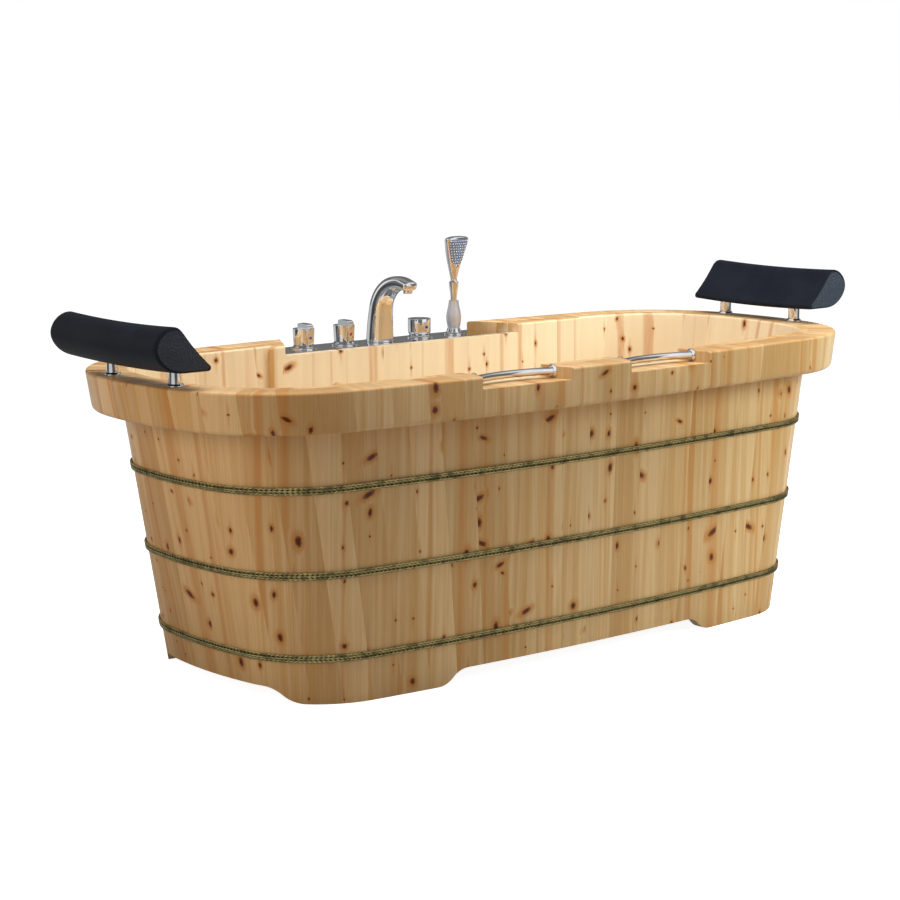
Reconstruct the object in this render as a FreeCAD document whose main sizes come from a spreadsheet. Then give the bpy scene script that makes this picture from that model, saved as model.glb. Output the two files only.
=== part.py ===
import FreeCAD, Part
import math
import os

import Sketcher
from FreeCAD import Placement, Rotation, Vector

# Oval bathtub built from upright wooden staves, with a rim of glued blocks, wire hoops, a deck-mounted
# bath filler with hand shower, two grab rails, two headrests and a floor waste.
# Frame: millimetres, origin on the floor under the middle of the tub, X along the length,
# Y towards the taps, Z up.

doc = FreeCAD.newDocument("wooden_bathtub")
sheet = doc.addObject("Spreadsheet::Sheet", "sizes")
nodes = {}


class Size:
    """A size that carries its number together with the sheet expression that gives it."""

    def __init__(self, number, text):
        self.number = float(number)
        self.text = text

    def __float__(self):
        return self.number

    def __add__(self, other):
        second = as_size(other)
        return Size(self.number + second.number, "(%s + %s)" % (self.text, second.text))

    def __sub__(self, other):
        second = as_size(other)
        return Size(self.number - second.number, "(%s - %s)" % (self.text, second.text))

    def __mul__(self, other):
        second = as_size(other)
        return Size(self.number * second.number, "(%s * %s)" % (self.text, second.text))

    __rmul__ = __mul__

    def __truediv__(self, other):
        second = as_size(other)
        return Size(self.number / second.number, "(%s / %s)" % (self.text, second.text))

    def __neg__(self):
        return Size(-self.number, "(0 - %s)" % self.text)


def as_size(value):
    """The value itself if it is a Size, otherwise a plain number as one."""
    if isinstance(value, Size):
        return value
    return Size(value, repr(value))


def to_sheet(named):
    """Write each driving dimension to the sheet under its own name, and return them as sizes."""
    sizes = {}
    for row, (alias, value) in enumerate(named.items(), start=1):
        cell = "A%d" % row
        sheet.set(cell, repr(value))
        sheet.setAlias(cell, alias)
        sizes[alias] = Size(value, "sizes.%s" % alias)
    return sizes


# Driving dimensions of the shell
rim_length = 1670.0  # outside length of the rim at its top
rim_width = 720.0  # outside width of the rim at its top
rim_top = 576.0  # height of the rim above the floor
rim_depth = 75.0  # height of the rim blocks
rim_overhang = 56.0  # thickness of the rim blocks outside the staves
rim_corner_radius = 262.0  # corner radius of the rim outline
base_corner_radius = 175.0  # corner radius of the wall at the floor
side_sweep = 5.4  # half angle of a bowed side, degrees
end_sweep = 9.0  # half angle of a rounded end, degrees
side_lean = 1.0  # outward lean of the long sides, degrees
end_lean = 11.0  # outward lean of the ends, degrees
stave_thickness = 22.0  # thickness of the wall staves
side_stave_count = 16  # staves along each side
corner_stave_count = 4  # staves round each corner
end_stave_count = 3  # staves across each end
rim_side_count = 15  # rim blocks along each side
rim_corner_count = 5  # rim blocks round each corner
rim_end_count = 4  # rim blocks across each end
rim_top_round = 5.0  # rounding of the rim's top edges
rim_under_round = 11.0  # rounding of the rim's lower outside edge
arch_height = 28.0  # height of the cut between the feet
arch_run = 68.0  # length of the S curve beside each foot
side_arch_length = 580.0  # level length of the cut in a side
end_arch_length = 300.0  # level length of the cut in an end

# Driving dimensions of the hoops
hoop_height = 15.0  # height of a hoop
hoop_thickness = 7.0  # how far a hoop stands off the staves
hoop_upper_level = 394.0  # height of the upper hoop
hoop_middle_level = 239.0  # height of the middle hoop
hoop_lower_level = 86.0  # height of the lower hoop

# Driving dimensions of the floor
floor_height = 68.0  # height of the floor boards' underside
floor_thickness = 24.0  # thickness of the floor boards
groove_depth = 9.0  # depth of the floor groove in the staves
floor_fit = 0.3  # clearance of the floor boards in the groove
floor_board_count = 7  # floor boards side by side
batten_count = 4  # cross battens under the floor
batten_spacing = 300.0  # distance between battens
batten_width = 60.0  # width of a batten
batten_depth = 26.0  # depth of a batten
batten_end_gap = 2.0  # gap between a batten's end and the staves
batten_screw_diameter = 6.0  # diameter of a floor screw
batten_screw_bite = 16.0  # length of a floor screw in its board

# Driving dimensions of the tap ledge and deck
ledge_thickness = 28.0  # thickness of the lining on the tap side
ledge_left = 330.0  # lining's reach to the left of the middle
ledge_right = 500.0  # lining's reach to the right of the middle
ledge_board_count = 12  # boards in the lining
ledge_return_round = 12.0  # rounding of the lining's left corner
deck_drop = 20.0  # depth of the tap deck below the rim
deck_front_length = 620.0  # length of the deck at the lining's face
deck_back_length = 494.0  # length of the deck at the rim's outer face
deck_offset = 8.0  # middle of the deck to the right of the tub's middle
plate_thickness = 2.0  # thickness of the deck plate
plate_margin = 3.0  # wood left uncovered round the deck plate
plate_depth = 92.0  # depth of the deck plate

# Driving dimensions of the deck fittings
tap_setback = 48.0  # tap axes from the rim's outer edge
cold_offset = 213.0  # cold tap to the left of the middle
hot_offset = 110.0  # hot tap to the left of the middle
spout_offset = 16.0  # spout to the left of the middle
diverter_offset = 90.0  # diverter to the right of the middle
shower_offset = 185.0  # hand shower to the right of the middle
shank_diameter = 32.0  # threaded shank of every deck fitting
shank_fit = 1.0  # radial room for a shank in its hole
shank_drop = 33.0  # length of a plain shank below the rim
pocket_diameter = 58.0  # pocket in the staves round each back nut
pocket_drop = 88.0  # length of the pockets below the rim
washer_diameter = 46.0  # outside of the sealing washers
washer_thickness = 2.0  # thickness of the sealing washers
nut_across = 46.0  # back nut across its flats
nut_height = 9.0  # height of a back nut
valve_drop = 55.0  # valve body below the rim
valve_neck_diameter = 24.0  # neck of a valve above the deck plate
valve_neck_height = 16.0  # height of that neck
inlet_diameter = 20.9  # male half-inch pipe thread on a valve
inlet_length = 14.0  # length of that thread
inlet_bore = 14.0  # water way through an inlet
inlet_rise = 15.0  # axis of an inlet above the valve's foot
inlet_shoulder = 3.0  # width of the shoulder behind an inlet's thread
inlet_stand = 1.5  # how far that shoulder stands out of the valve
spindle_diameter = 12.0  # turning spindle of a valve
spindle_fit = 0.05  # radial running clearance of a spindle
spindle_end_gap = 1.0  # room under a spindle
spindle_reach = 62.0  # length of a spindle below the deck plate's top
spindle_rise = 30.0  # length of a spindle above the deck plate's top
pipe_diameter = 10.0  # mixing pipe outside diameter
pipe_wall = 1.0  # mixing pipe wall
mix_pipe_drop = 47.0  # lower pipe run below the rim
spout_pipe_drop = 24.0  # upper pipe run below the rim

# Driving dimensions of handles and knob
flange_diameter = 57.0  # flange under a tap handle
flange_height = 7.0  # height of that flange
flange_lip = 3.0  # height of the flange's outer lip
flange_hub_diameter = 40.0  # raised middle of the flange
handle_gap = 0.4  # gap between a handle and its flange
handle_diameter = 44.0  # tap handle at its top
handle_foot_diameter = 41.0  # tap handle at its foot
handle_height = 34.0  # height of a tap handle's barrel
handle_room = 1.0  # room round the valve neck inside a handle
lever_length = 36.0  # length of the lever on a tap handle
lever_width = 15.0  # width of that lever
lever_height = 10.0  # height of that lever
lever_overhang = 1.5  # how far the lever stands out of the barrel
lever_tongue = 6.0  # thickness of the lever's downturned end
dot_diameter = 6.0  # colour dot
dot_thickness = 1.0  # thickness of a colour dot
dot_height = 16.0  # colour dot above the handle's foot
knob_diameter = 48.0  # diverter knob
knob_height = 33.0  # height of the diverter knob
knob_edge = 4.0  # bevel of the diverter knob's edges

# Driving dimensions of the spout
spout_base_diameter = 57.0  # spout column at its foot
spout_tip_width = 37.0  # width of the spout's beak at its end
spout_tip_depth = 17.0  # thickness of the spout's beak at its end
spout_column = 59.0  # straight height of the spout's column
spout_bend = 66.0  # radius of the spout's bend
spout_dip = 10.0  # downward slope of the beak, degrees
spout_beak = 28.0  # length of the beak after the bend
aerator_diameter = 19.0  # outlet under the beak
aerator_height = 16.0  # height of the outlet piece
aerator_setback = 14.0  # outlet axis from the beak's end
aerator_bore = 13.0  # bore of the outlet

# Driving dimensions of the hand shower
holder_diameter = 47.0  # flange of the shower cradle
holder_lip = 4.0  # height of that flange
holder_cup_diameter = 27.0  # cup of the shower cradle
holder_cup_height = 9.0  # height of that cup
connector_diameter = 18.0  # hose connector of the hand shower
connector_length = 60.0  # length of that connector
connector_fit = 0.5  # radial room for the connector in the cradle
grip_foot_diameter = 23.0  # grip where it stands on the cradle
grip_diameter = 32.0  # grip at its widest
grip_neck_diameter = 21.0  # grip at its top
grip_height = 62.0  # length of the grip
head_waist = 12.0  # narrowest part of the hand shower
head_waist_rise = 42.0  # waist above the grip
head_width = 64.0  # width of the shower head
head_depth = 24.0  # thickness of the shower head
head_length = 96.0  # length of the shower head above the waist
head_shoulder = 76.0  # widest part of the head above the waist
face_width = 50.0  # width of the nozzle face
face_length = 62.0  # length of the nozzle face
face_thickness = 6.0  # thickness of the nozzle face
face_rise = 56.0  # middle of the nozzle face above the waist

# Driving dimensions of the grab rails
notch_drop = 22.0  # depth of a rail notch
notch_length = 220.0  # length of a notch at the rim's outer face
notch_flare = 13.0  # widening of a notch at each end
notch_flare_depth = 30.0  # depth of that widening
left_rail_offset = 206.0  # left rail to the left of the middle
right_rail_offset = 161.0  # right rail to the right of the middle
rail_setback = 45.0  # rail axis from the rim's outer edge
rail_diameter = 14.0  # grab rail diameter
rail_rise = 13.0  # rail axis above the notch
rail_bow = 15.0  # inward bow of a rail
rail_flange_diameter = 25.0  # flange at each end of a rail
rail_flange_thickness = 5.0  # thickness of that flange
rail_screw_diameter = 5.0  # screw behind each rail flange
rail_screw_bite = 32.0  # length of that screw in the wood
rail_screw_grip = 12.0  # length of that screw in the flange and rail

# Driving dimensions of the headrests
post_diameter = 24.0  # headrest post
post_spacing = 200.0  # distance between the two posts
post_setback = 36.0  # posts from the end of the rim
post_socket = 14.0  # length of a post inside the cushion
post_fit = 0.3  # radial room for a post in the cushion
collar_diameter = 31.0  # collar at the foot of a post
collar_height = 6.0  # height of that collar
stud_diameter = 8.0  # stud that holds a post
stud_bite = 45.0  # length of a stud in the rim
stud_grip = 20.0  # length of a stud in the post
headrest_length = 340.0  # length of a headrest cushion
headrest_lift = 28.0  # cushion's underside above the rim
headrest_height = 82.0  # height of the cushion
headrest_back = 90.0  # cushion's reach outwards from the posts
headrest_back_height = 44.0  # height of the cushion's outermost line
headrest_front = 27.0  # cushion's reach inwards from the posts
headrest_crest = 36.0  # cushion's top line outwards from the posts
headrest_belly = 27.0  # cushion's flat underside outwards from the posts
headrest_nose = 10.0  # thickness of the cushion's inner edge
headrest_nose_bow = 5.0  # rounding of that edge
headrest_under_bow = 13.5  # swell of the cushion's lower back
headrest_back_bow = 14.5  # swell of the cushion's upper back
headrest_dish = 9.0  # hollow of the cushion's face at its middle
headrest_end_dish = 3.0  # hollow of the cushion's face at its ends
headrest_dip = 4.0  # how far the cushion's middle lies below its ends

# Driving dimensions of the floor waste
waste_flange_diameter = 74.0  # flange of the waste in the tub
waste_flange_thickness = 3.0  # thickness of that flange
waste_shank_diameter = 47.8  # threaded shank of the waste in the floor
waste_shank_end = 2.0  # length of that shank below its nut
waste_outlet_diameter = 41.9  # male pipe thread at the waste's foot
waste_outlet_length = 25.0  # length of that pipe thread
waste_bore_diameter = 35.0  # bore of the waste
waste_fit = 1.0  # radial room for the waste in the floor
waste_nut_across = 62.0  # back nut of the waste across its flats
waste_nut_height = 10.0  # height of that nut
seal_diameter = 66.0  # sealing ring under the floor
seal_thickness = 3.0  # thickness of the sealing ring
web_thickness = 4.0  # thickness of the cross-bar in the waste
web_depth = 12.0  # height of that cross-bar
web_drop = 14.0  # cross-bar below the flange
boss_diameter = 16.0  # guide in the middle of the cross-bar
stem_diameter = 9.0  # stem of the push plug
stem_fit = 0.05  # radial running clearance of the stem
stem_length = 42.0  # length of the stem
plug_diameter = 62.0  # cap of the push plug
plug_thickness = 5.0  # thickness of that cap
plug_gap = 0.3  # gap between the cap and the flange when shut

# Each number named above goes to the sheet, and from here on its name stands for the sheet's cell
driving = {name: value for name, value in globals().items() if isinstance(value, (int, float))}
globals().update(to_sheet(driving))
ZERO = Size(0, "0")
doc.recompute()

# Levels and lines that several pieces share
deck_level = rim_top - deck_drop
plate_level = deck_level + plate_thickness
rim_under = rim_top - rim_depth
floor_level = floor_height + floor_thickness
tap_line = rim_width / 2 - tap_setback
wall_face = rim_width / 2 - rim_overhang - stave_thickness
ledge_line = wall_face - ledge_thickness
deck_slope = (deck_front_length - deck_back_length) / 2 / (rim_width / 2 - ledge_line)
rail_line = -(rim_width / 2 - rail_setback)
rail_level = rim_top - notch_drop + rail_rise
notch_half = notch_length / 2 - notch_flare
post_line = rim_length / 2 - post_setback
handle_foot = plate_level + flange_height + handle_gap
nut_level = rim_under - washer_thickness - nut_height
cold_x = -cold_offset
hot_x = -hot_offset
spout_x = -spout_offset
tap_axes = (cold_x, hot_x, spout_x, diverter_offset, shower_offset)
rail_centres = (-left_rail_offset, right_rail_offset)
# Cutters run this far past the wood that they cut
OVERCUT = 20.0
# Shares of a radius that are tried in turn where an edge won't take the full rounding
ROUNDING_SHARES = (1.0, 0.99, 1.01, 0.96, 0.9, 0.75)
# Angles at which the rounded end of the shower head is drawn, in degrees above its widest part
HEAD_CROWN_ANGLES = (0, 30, 55, 72)


def number(value):
    """Plain number of a size."""
    return float(value)


def bind(thing, prop, value):
    """Tie one property of a document object to the sheet."""
    thing.setExpression(prop, as_size(value).text)


def place(thing, x, y, z, rotation=None):
    """Put an object at a point that stays tied to the sheet."""
    turn = rotation or Rotation()
    thing.Placement = Placement(Vector(number(x), number(y), number(z)), turn)
    for axis, value in zip("xyz", (x, y, z)):
        bind(thing, "Placement.Base.%s" % axis, value)


def keep(label, thing):
    """Name a finished sub-part."""
    thing.Label = label
    nodes[label] = thing
    return thing


def solid_feature(label, shapes):
    """Sub-part made of one or more shapes built from the sheet's sizes in code."""
    thing = doc.addObject("Part::Feature", label)
    thing.Shape = shapes[0] if len(shapes) == 1 else Part.makeCompound(shapes)
    return keep(label, thing)


def group(label, members):
    """Sub-part of several equal pieces."""
    thing = doc.addObject("Part::Compound", label)
    thing.Links = members
    return keep(label, thing)


def origin_plane(body, role):
    """One of a body's own origin planes."""
    return [item for item in body.Origin.OriginFeatures if item.Role == role][0]


def new_sketch(body, name, role):
    """Sketch on one of the body's origin planes."""
    sketch = body.newObject("Sketcher::SketchObject", name)
    sketch.AttachmentSupport = [(origin_plane(body, role), "")]
    sketch.MapMode = "FlatFace"
    return sketch


def fix_point(sketch, geometry, point, across, up):
    """Hold a sketch point at a place given by two sizes."""
    for kind, axis, value in (("DistanceX", -2, across), ("DistanceY", -1, up)):
        if number(value) == 0.0:
            sketch.addConstraint(Sketcher.Constraint("PointOnObject", geometry, point, axis))
            continue
        rule = Sketcher.Constraint(kind, -1, 1, geometry, point, number(value))
        bind(sketch, "Constraints[%d]" % sketch.addConstraint(rule), value)


def polygon(sketch, corners):
    """Closed outline of straight lines whose corners are tied to the sheet."""
    first = sketch.GeometryCount
    count = len(corners)
    points = [Vector(number(across), number(up), 0) for across, up in corners]
    for index in range(count):
        sketch.addGeometry(Part.LineSegment(points[index], points[(index + 1) % count]))
    for index in range(count):
        after = first + (index + 1) % count
        sketch.addConstraint(Sketcher.Constraint("Coincident", first + index, 2, after, 1))
    for index, (across, up) in enumerate(corners):
        fix_point(sketch, first + index, 1, across, up)


def circle(sketch, across, up, radius):
    """Circle whose centre and radius are tied to the sheet."""
    centre = Vector(number(across), number(up), 0)
    index = sketch.addGeometry(Part.Circle(centre, Vector(0, 0, 1), number(radius)))
    fix_point(sketch, index, 3, across, up)
    rule = sketch.addConstraint(Sketcher.Constraint("Radius", index, number(radius)))
    bind(sketch, "Constraints[%d]" % rule, radius)


def turned(label, profile, x, y, z=ZERO):
    """Body turned about an upright axis; the profile is (radius, height) corners."""
    body = doc.addObject("PartDesign::Body", label)
    sketch = new_sketch(body, label + "_profile", "XZ_Plane")
    polygon(sketch, profile)
    turn = body.newObject("PartDesign::Revolution", label + "_turning")
    turn.Profile = sketch
    turn.ReferenceAxis = (sketch, ["V_Axis"])
    turn.Angle = 360
    place(body, x, y, z)
    return keep(label, body)


def add_block(body, name, corners, level, height):
    """Straight block on a body, from its plan corners."""
    sketch = new_sketch(body, name + "_plan", "XY_Plane")
    polygon(sketch, corners)
    sketch.AttachmentOffset = Placement(Vector(0, 0, number(level)), Rotation())
    bind(sketch, "AttachmentOffset.Base.z", level)
    pad = body.newObject("PartDesign::Pad", name + "_pad")
    pad.Profile = sketch
    bind(pad, "Length", height)


def cylinder(name, radius, height, x, y, z, rotation=None):
    """Plain cylinder tied to the sheet."""
    thing = doc.addObject("Part::Cylinder", name)
    bind(thing, "Radius", radius)
    bind(thing, "Height", height)
    place(thing, x, y, z, rotation)
    return thing


def ring(name, outer, inner, height, x, y, z):
    """Flat ring tied to the sheet."""
    thing = doc.addObject("Part::Cut", name)
    thing.Base = cylinder(name + "_disc", outer, height, x, y, z)
    thing.Tool = cylinder(name + "_hole", inner, height, x, y, z)
    return thing


def hex_nut(name, across, bore, height, x, y, z):
    """Hexagon nut tied to the sheet."""
    blank = doc.addObject("Part::Prism", name + "_blank")
    blank.Polygon = 6
    bind(blank, "Circumradius", across / 2 / math.cos(math.radians(30)))
    bind(blank, "Height", height)
    place(blank, x, y, z)
    thing = doc.addObject("Part::Cut", name)
    thing.Base = blank
    thing.Tool = cylinder(name + "_bore", bore, height, x, y, z)
    return thing


# The oval: every level of the wall is a closed line of eight tangent arcs with the same sweep angles


class Oval:
    """Outline of eight tangent arcs; its arcs keep their angles at every height and offset."""

    def __init__(self, half_length, half_width, corner):
        side = math.radians(number(side_sweep))
        end = math.radians(number(end_sweep))
        along = half_length + corner * (math.sin(side) - math.cos(end))
        across = half_width + corner * (math.sin(end) - math.cos(side))
        flat = (1 - math.cos(side)) * (1 - math.cos(end))
        scale = math.sin(side) * math.sin(end) - flat
        self.side = (along * math.sin(end) - across * (1 - math.cos(end))) / scale
        self.end = (across - self.side * (1 - math.cos(side))) / math.sin(end)
        self.corner = corner
        self.side_centre = half_width - self.side
        self.end_centre = half_length - self.end
        self.corner_x = (self.side - corner) * math.sin(side)
        self.corner_y = self.side_centre + (self.side - corner) * math.cos(side)

    def arc(self, kind, sign_x, sign_y):
        """Centre and radius of one arc."""
        if kind == "side":
            return 0.0, sign_y * self.side_centre, self.side
        if kind == "end":
            return sign_x * self.end_centre, 0.0, self.end
        return sign_x * self.corner_x, sign_y * self.corner_y, self.corner


def wall_ovals():
    """Outside of the staves at the floor and at the rim's top."""
    half_length = number(rim_length / 2 - rim_overhang)
    half_width = number(rim_width / 2 - rim_overhang)
    top = Oval(half_length, half_width, number(rim_corner_radius - rim_overhang))
    run_out = number(rim_top) * math.tan(math.radians(number(end_lean)))
    side_out = number(rim_top) * math.tan(math.radians(number(side_lean)))
    base = Oval(half_length - run_out, half_width - side_out, number(base_corner_radius))
    return base, top


BASE_OVAL, TOP_OVAL = wall_ovals()


def arc_at(arc_name, level):
    """Centre and radius of one arc of the staves' outside at a height."""
    share = level / number(rim_top)
    low = BASE_OVAL.arc(*arc_name)
    high = TOP_OVAL.arc(*arc_name)
    return [a + (b - a) * share for a, b in zip(low, high)]


def wall_point(arc_name, angle, level, offset):
    """Point at a plan angle and height, offset outwards from the staves' outside."""
    x, y, radius = arc_at(arc_name, level)
    turn = math.radians(angle)
    reach = radius + offset
    return Vector(x + reach * math.cos(turn), y + reach * math.sin(turn), level)


def oval_arcs():
    """Name, first and last plan angle of the eight arcs, counter-clockwise from the right end."""
    side = number(side_sweep)
    end = number(end_sweep)
    return (
        (("end", 1, 0), -end, end),
        (("corner", 1, 1), end, 90 - side),
        (("side", 0, 1), 90 - side, 90 + side),
        (("corner", -1, 1), 90 + side, 180 - end),
        (("end", -1, 0), 180 - end, 180 + end),
        (("corner", -1, -1), 180 + end, 270 - side),
        (("side", 0, -1), 270 - side, 270 + side),
        (("corner", 1, -1), 270 + side, 360 - end),
    )


def oval_wire(level, offset):
    """Closed outline of the whole oval at a height."""
    edges = []
    for arc_name, first, last in oval_arcs():
        angles = (first, (first + last) / 2, last)
        points = [wall_point(arc_name, angle, level, offset) for angle in angles]
        edges.append(Part.Arc(*points).toShape())
    return Part.Wire(edges)


def oval_solid(bottom, top, offset):
    """Solid oval block between two heights."""
    return Part.makeLoft([oval_wire(bottom, offset), oval_wire(top, offset)], True, True)


def board_section(arc_name, first, last, level, inner, outer):
    """Level section of an upright board on one arc of the oval."""
    middle = (first + last) / 2
    out = [wall_point(arc_name, angle, level, outer) for angle in (first, middle, last)]
    back = [wall_point(arc_name, angle, level, inner) for angle in (last, middle, first)]
    edges = (
        Part.Arc(*out).toShape(),
        Part.makeLine(out[-1], back[0]),
        Part.Arc(*back).toShape(),
        Part.makeLine(back[-1], out[0]),
    )
    return Part.Wire(edges)


def board(arc_name, first, last, bottom, top, inner, outer):
    """Upright board that follows the oval between two heights."""
    lower = board_section(arc_name, first, last, bottom, inner, outer)
    upper = board_section(arc_name, first, last, top, inner, outer)
    return Part.makeLoft([lower, upper], True, True)


def edge_near(shape, point):
    """Edge whose middle lies nearest to a point."""
    def distance(edge):
        middle = edge.valueAt((edge.FirstParameter + edge.LastParameter) / 2)
        return middle.distanceToPoint(point)
    return min(shape.Edges, key=distance)


def rounded(shape, point, radius):
    """Shape with the edge nearest to a point rounded."""
    edge = edge_near(shape, point)
    for share in ROUNDING_SHARES:
        try:
            result = shape.makeFillet(number(radius) * share, [edge])
        except Part.OCCError:
            continue
        if result.isValid():
            return result
    raise RuntimeError("an edge near %s can't be rounded" % point)


def trimmed(shape, tools):
    """Shape less the cutters that reach it."""
    near = [tool for tool in tools if tool.BoundBox.intersect(shape.BoundBox)]
    return shape.cut(near) if near else shape


def main_solid(shape):
    """Largest solid of a shape, without slivers that a cutter leaves."""
    return max(shape.Solids, key=lambda solid: solid.Volume)


def prism(points, direction):
    """Straight prism over a closed line of points."""
    return Part.Face(Part.makePolygon(points + points[:1])).extrude(direction)


# Cutters for the feet, the tap deck, the rail notches and the fittings


def arch_cutter(level_length, along):
    """Cut between two feet: level at its top, with an S curve of two arcs beside each foot."""
    half = number(level_length) / 2
    run = number(arch_run) / 2
    rise = number(arch_height) / 2
    radius = (run * run + rise * rise) / (2 * rise)
    half_turn = math.atan2(rise, run)
    bulge_run = radius * math.sin(half_turn)
    bulge_rise = radius * (1 - math.cos(half_turn))
    foot = half + 2 * run
    right = [
        (half, 2 * rise),
        (half + bulge_run, 2 * rise - bulge_rise),
        (half + run, rise),
        (foot - bulge_run, bulge_rise),
        (foot, 0.0),
    ]

    def at(across, up):
        return Vector(across, 0, up) if along else Vector(0, across, up)

    curve = [at(*point) for point in right]
    mirror = [at(-across, up) for across, up in right]
    edges = (
        Part.makeLine(mirror[0], curve[0]),
        Part.Arc(curve[0], curve[1], curve[2]).toShape(),
        Part.Arc(curve[2], curve[3], curve[4]).toShape(),
        Part.makeLine(curve[4], at(foot, -OVERCUT)),
        Part.makeLine(at(foot, -OVERCUT), at(-foot, -OVERCUT)),
        Part.makeLine(at(-foot, -OVERCUT), mirror[4]),
        Part.Arc(mirror[4], mirror[3], mirror[2]).toShape(),
        Part.Arc(mirror[2], mirror[1], mirror[0]).toShape(),
    )
    face = Part.Face(Part.Wire(edges))
    reach = number(rim_width) if along else number(rim_length)
    way = Vector(0, reach, 0) if along else Vector(reach, 0, 0)
    return face.translated(way * -1).extrude(way * 2)


def deck_cutter():
    """Lowered stretch of the rim and lining for the tap deck, with flared ends."""
    front = number(ledge_line) - OVERCUT
    back = number(rim_width) / 2 + OVERCUT
    front_half = number(deck_front_length) / 2 + OVERCUT * number(deck_slope)
    back_half = number(deck_back_length) / 2 - OVERCUT * number(deck_slope)
    level = number(deck_level)
    corners = ((-front_half, front), (front_half, front), (back_half, back), (-back_half, back))
    points = [Vector(number(deck_offset) + x, y, level) for x, y in corners]
    return prism(points, Vector(0, 0, number(deck_drop) + OVERCUT))


def notch_cutter(centre):
    """Notch for one grab rail: straight ends with a flare at the rim's outer face."""
    middle = number(centre)
    face = -number(rim_width) / 2
    start = face + number(notch_flare_depth)
    slope = number(notch_flare) / number(notch_flare_depth)
    inner_half = number(notch_half)
    outer_half = number(notch_length) / 2 + OVERCUT * slope
    inside = OVERCUT - number(wall_face)
    right = ((inner_half, inside), (inner_half, start), (outer_half, face - OVERCUT))
    left = [(-across, y) for across, y in reversed(right)]
    level = number(rim_top - notch_drop)
    points = [Vector(middle + across, y, level) for across, y in list(right) + left]
    return prism(points, Vector(0, 0, number(notch_drop) + OVERCUT))


def upright_hole(x, y, radius, bottom, top):
    """Upright round cutter."""
    return Part.makeCylinder(radius, top - bottom, Vector(number(x), number(y), bottom))


def level_hole(x, y, z, radius, length):
    """Round cutter along X from a point, in the direction of the length's sign."""
    way = Vector(math.copysign(1.0, length), 0, 0)
    return Part.makeCylinder(radius, abs(length), Vector(x, y, z), way)


def rail_screw_shapes():
    """Screws behind the four rail flanges, from inside the rail into the rim."""
    shapes = []
    for centre in rail_centres:
        for side in (-1, 1):
            start = number(centre) + side * number(notch_half - rail_screw_grip)
            length = side * number(rail_screw_grip + rail_screw_bite)
            radius = number(rail_screw_diameter) / 2
            shapes.append(level_hole(start, number(rail_line), number(rail_level), radius, length))
    return shapes


def post_points():
    """Axes of the four headrest posts."""
    return [(sign_x * post_line, sign_y * post_spacing / 2) for sign_x in (-1, 1) for sign_y in (-1, 1)]


def stud_shapes():
    """Studs from inside the posts into the rim."""
    bottom = number(rim_top - stud_bite)
    top = number(rim_top + stud_grip)
    radius = number(stud_diameter) / 2
    return [upright_hole(x, y, radius, bottom, top) for x, y in post_points()]


def fitting_cutters():
    """Hole through the rim for each deck fitting, and the pocket for its back nut below."""
    hole = number(shank_diameter / 2 + shank_fit)
    room = number(pocket_diameter) / 2
    pocket_foot = number(rim_under - pocket_drop)
    under = number(rim_under)
    shapes = []
    for axis in tap_axes:
        shapes.append(upright_hole(axis, tap_line, hole, under - OVERCUT, number(rim_top)))
        shapes.append(upright_hole(axis, tap_line, room, pocket_foot, under))
    return shapes


rail_screws = rail_screw_shapes()
studs = stud_shapes()
top_cutters = [deck_cutter()] + [notch_cutter(centre) for centre in rail_centres]
foot_cutters = [arch_cutter(side_arch_length, True), arch_cutter(end_arch_length, False)]
wood_cutters = top_cutters + foot_cutters + fitting_cutters() + rail_screws + studs


# Wall staves and rim blocks


def side_name(arc_name):
    """Which run of the wall an arc belongs to."""
    kind, sign_x, sign_y = arc_name
    if kind == "side":
        return "back" if sign_y > 0 else "front"
    return "right_end" if sign_x > 0 else "left_end"


def divided(counts):
    """Arc name and plan angles of equal boards all round the oval."""
    for arc_name, first, last in oval_arcs():
        count = int(round(number(counts[arc_name[0]])))
        step = (last - first) / count
        for index in range(count):
            yield arc_name, first + index * step, first + (index + 1) * step


def stave(arc_name, first, last):
    """One wall stave with its rounded top edge and floor groove, cut for feet and fittings."""
    inner = -number(stave_thickness)
    top = number(rim_top)
    shape = board(arc_name, first, last, 0.0, top, inner, 0.0)
    shape = rounded(shape, wall_point(arc_name, (first + last) / 2, top, inner), rim_top_round)
    groove_top = number(floor_level + floor_fit)
    depth = inner + number(groove_depth)
    groove = board(arc_name, first - 1, last + 1, number(floor_height), groove_top, inner - OVERCUT, depth)
    return main_solid(trimmed(shape.cut(groove), wood_cutters))


def rim_block(arc_name, first, last):
    """One rim block with its rounded outside edges, cut for the deck, notches and fittings."""
    top = number(rim_top)
    bottom = number(rim_under)
    outer = number(rim_overhang)
    shape = board(arc_name, first, last, bottom, top, 0.0, outer)
    middle = (first + last) / 2
    shape = rounded(shape, wall_point(arc_name, middle, top, outer), rim_top_round)
    shape = rounded(shape, wall_point(arc_name, middle, bottom, outer), rim_under_round)
    return main_solid(trimmed(shape, wood_cutters))


def walls():
    """Staves and rim blocks, sorted into the four runs of the wall."""
    stave_counts = {"side": side_stave_count, "corner": corner_stave_count, "end": end_stave_count}
    rim_counts = {"side": rim_side_count, "corner": rim_corner_count, "end": rim_end_count}
    for suffix, counts, maker in (("staves", stave_counts, stave), ("rim_blocks", rim_counts, rim_block)):
        runs = {}
        for arc_name, first, last in divided(counts):
            runs.setdefault(side_name(arc_name), []).append(maker(arc_name, first, last))
        for run, shapes in runs.items():
            solid_feature("%s_%s" % (run, suffix), shapes)


def hoop(label, level):
    """Hoop round the staves, seated on their outside."""
    bottom = number(level - hoop_height / 2)
    top = number(level + hoop_height / 2)
    outside = oval_solid(bottom, top, number(hoop_thickness))
    solid_feature(label, [outside.cut(oval_solid(bottom, top, 0.0))])


# Floor boards, battens and the lining on the tap side


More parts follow.
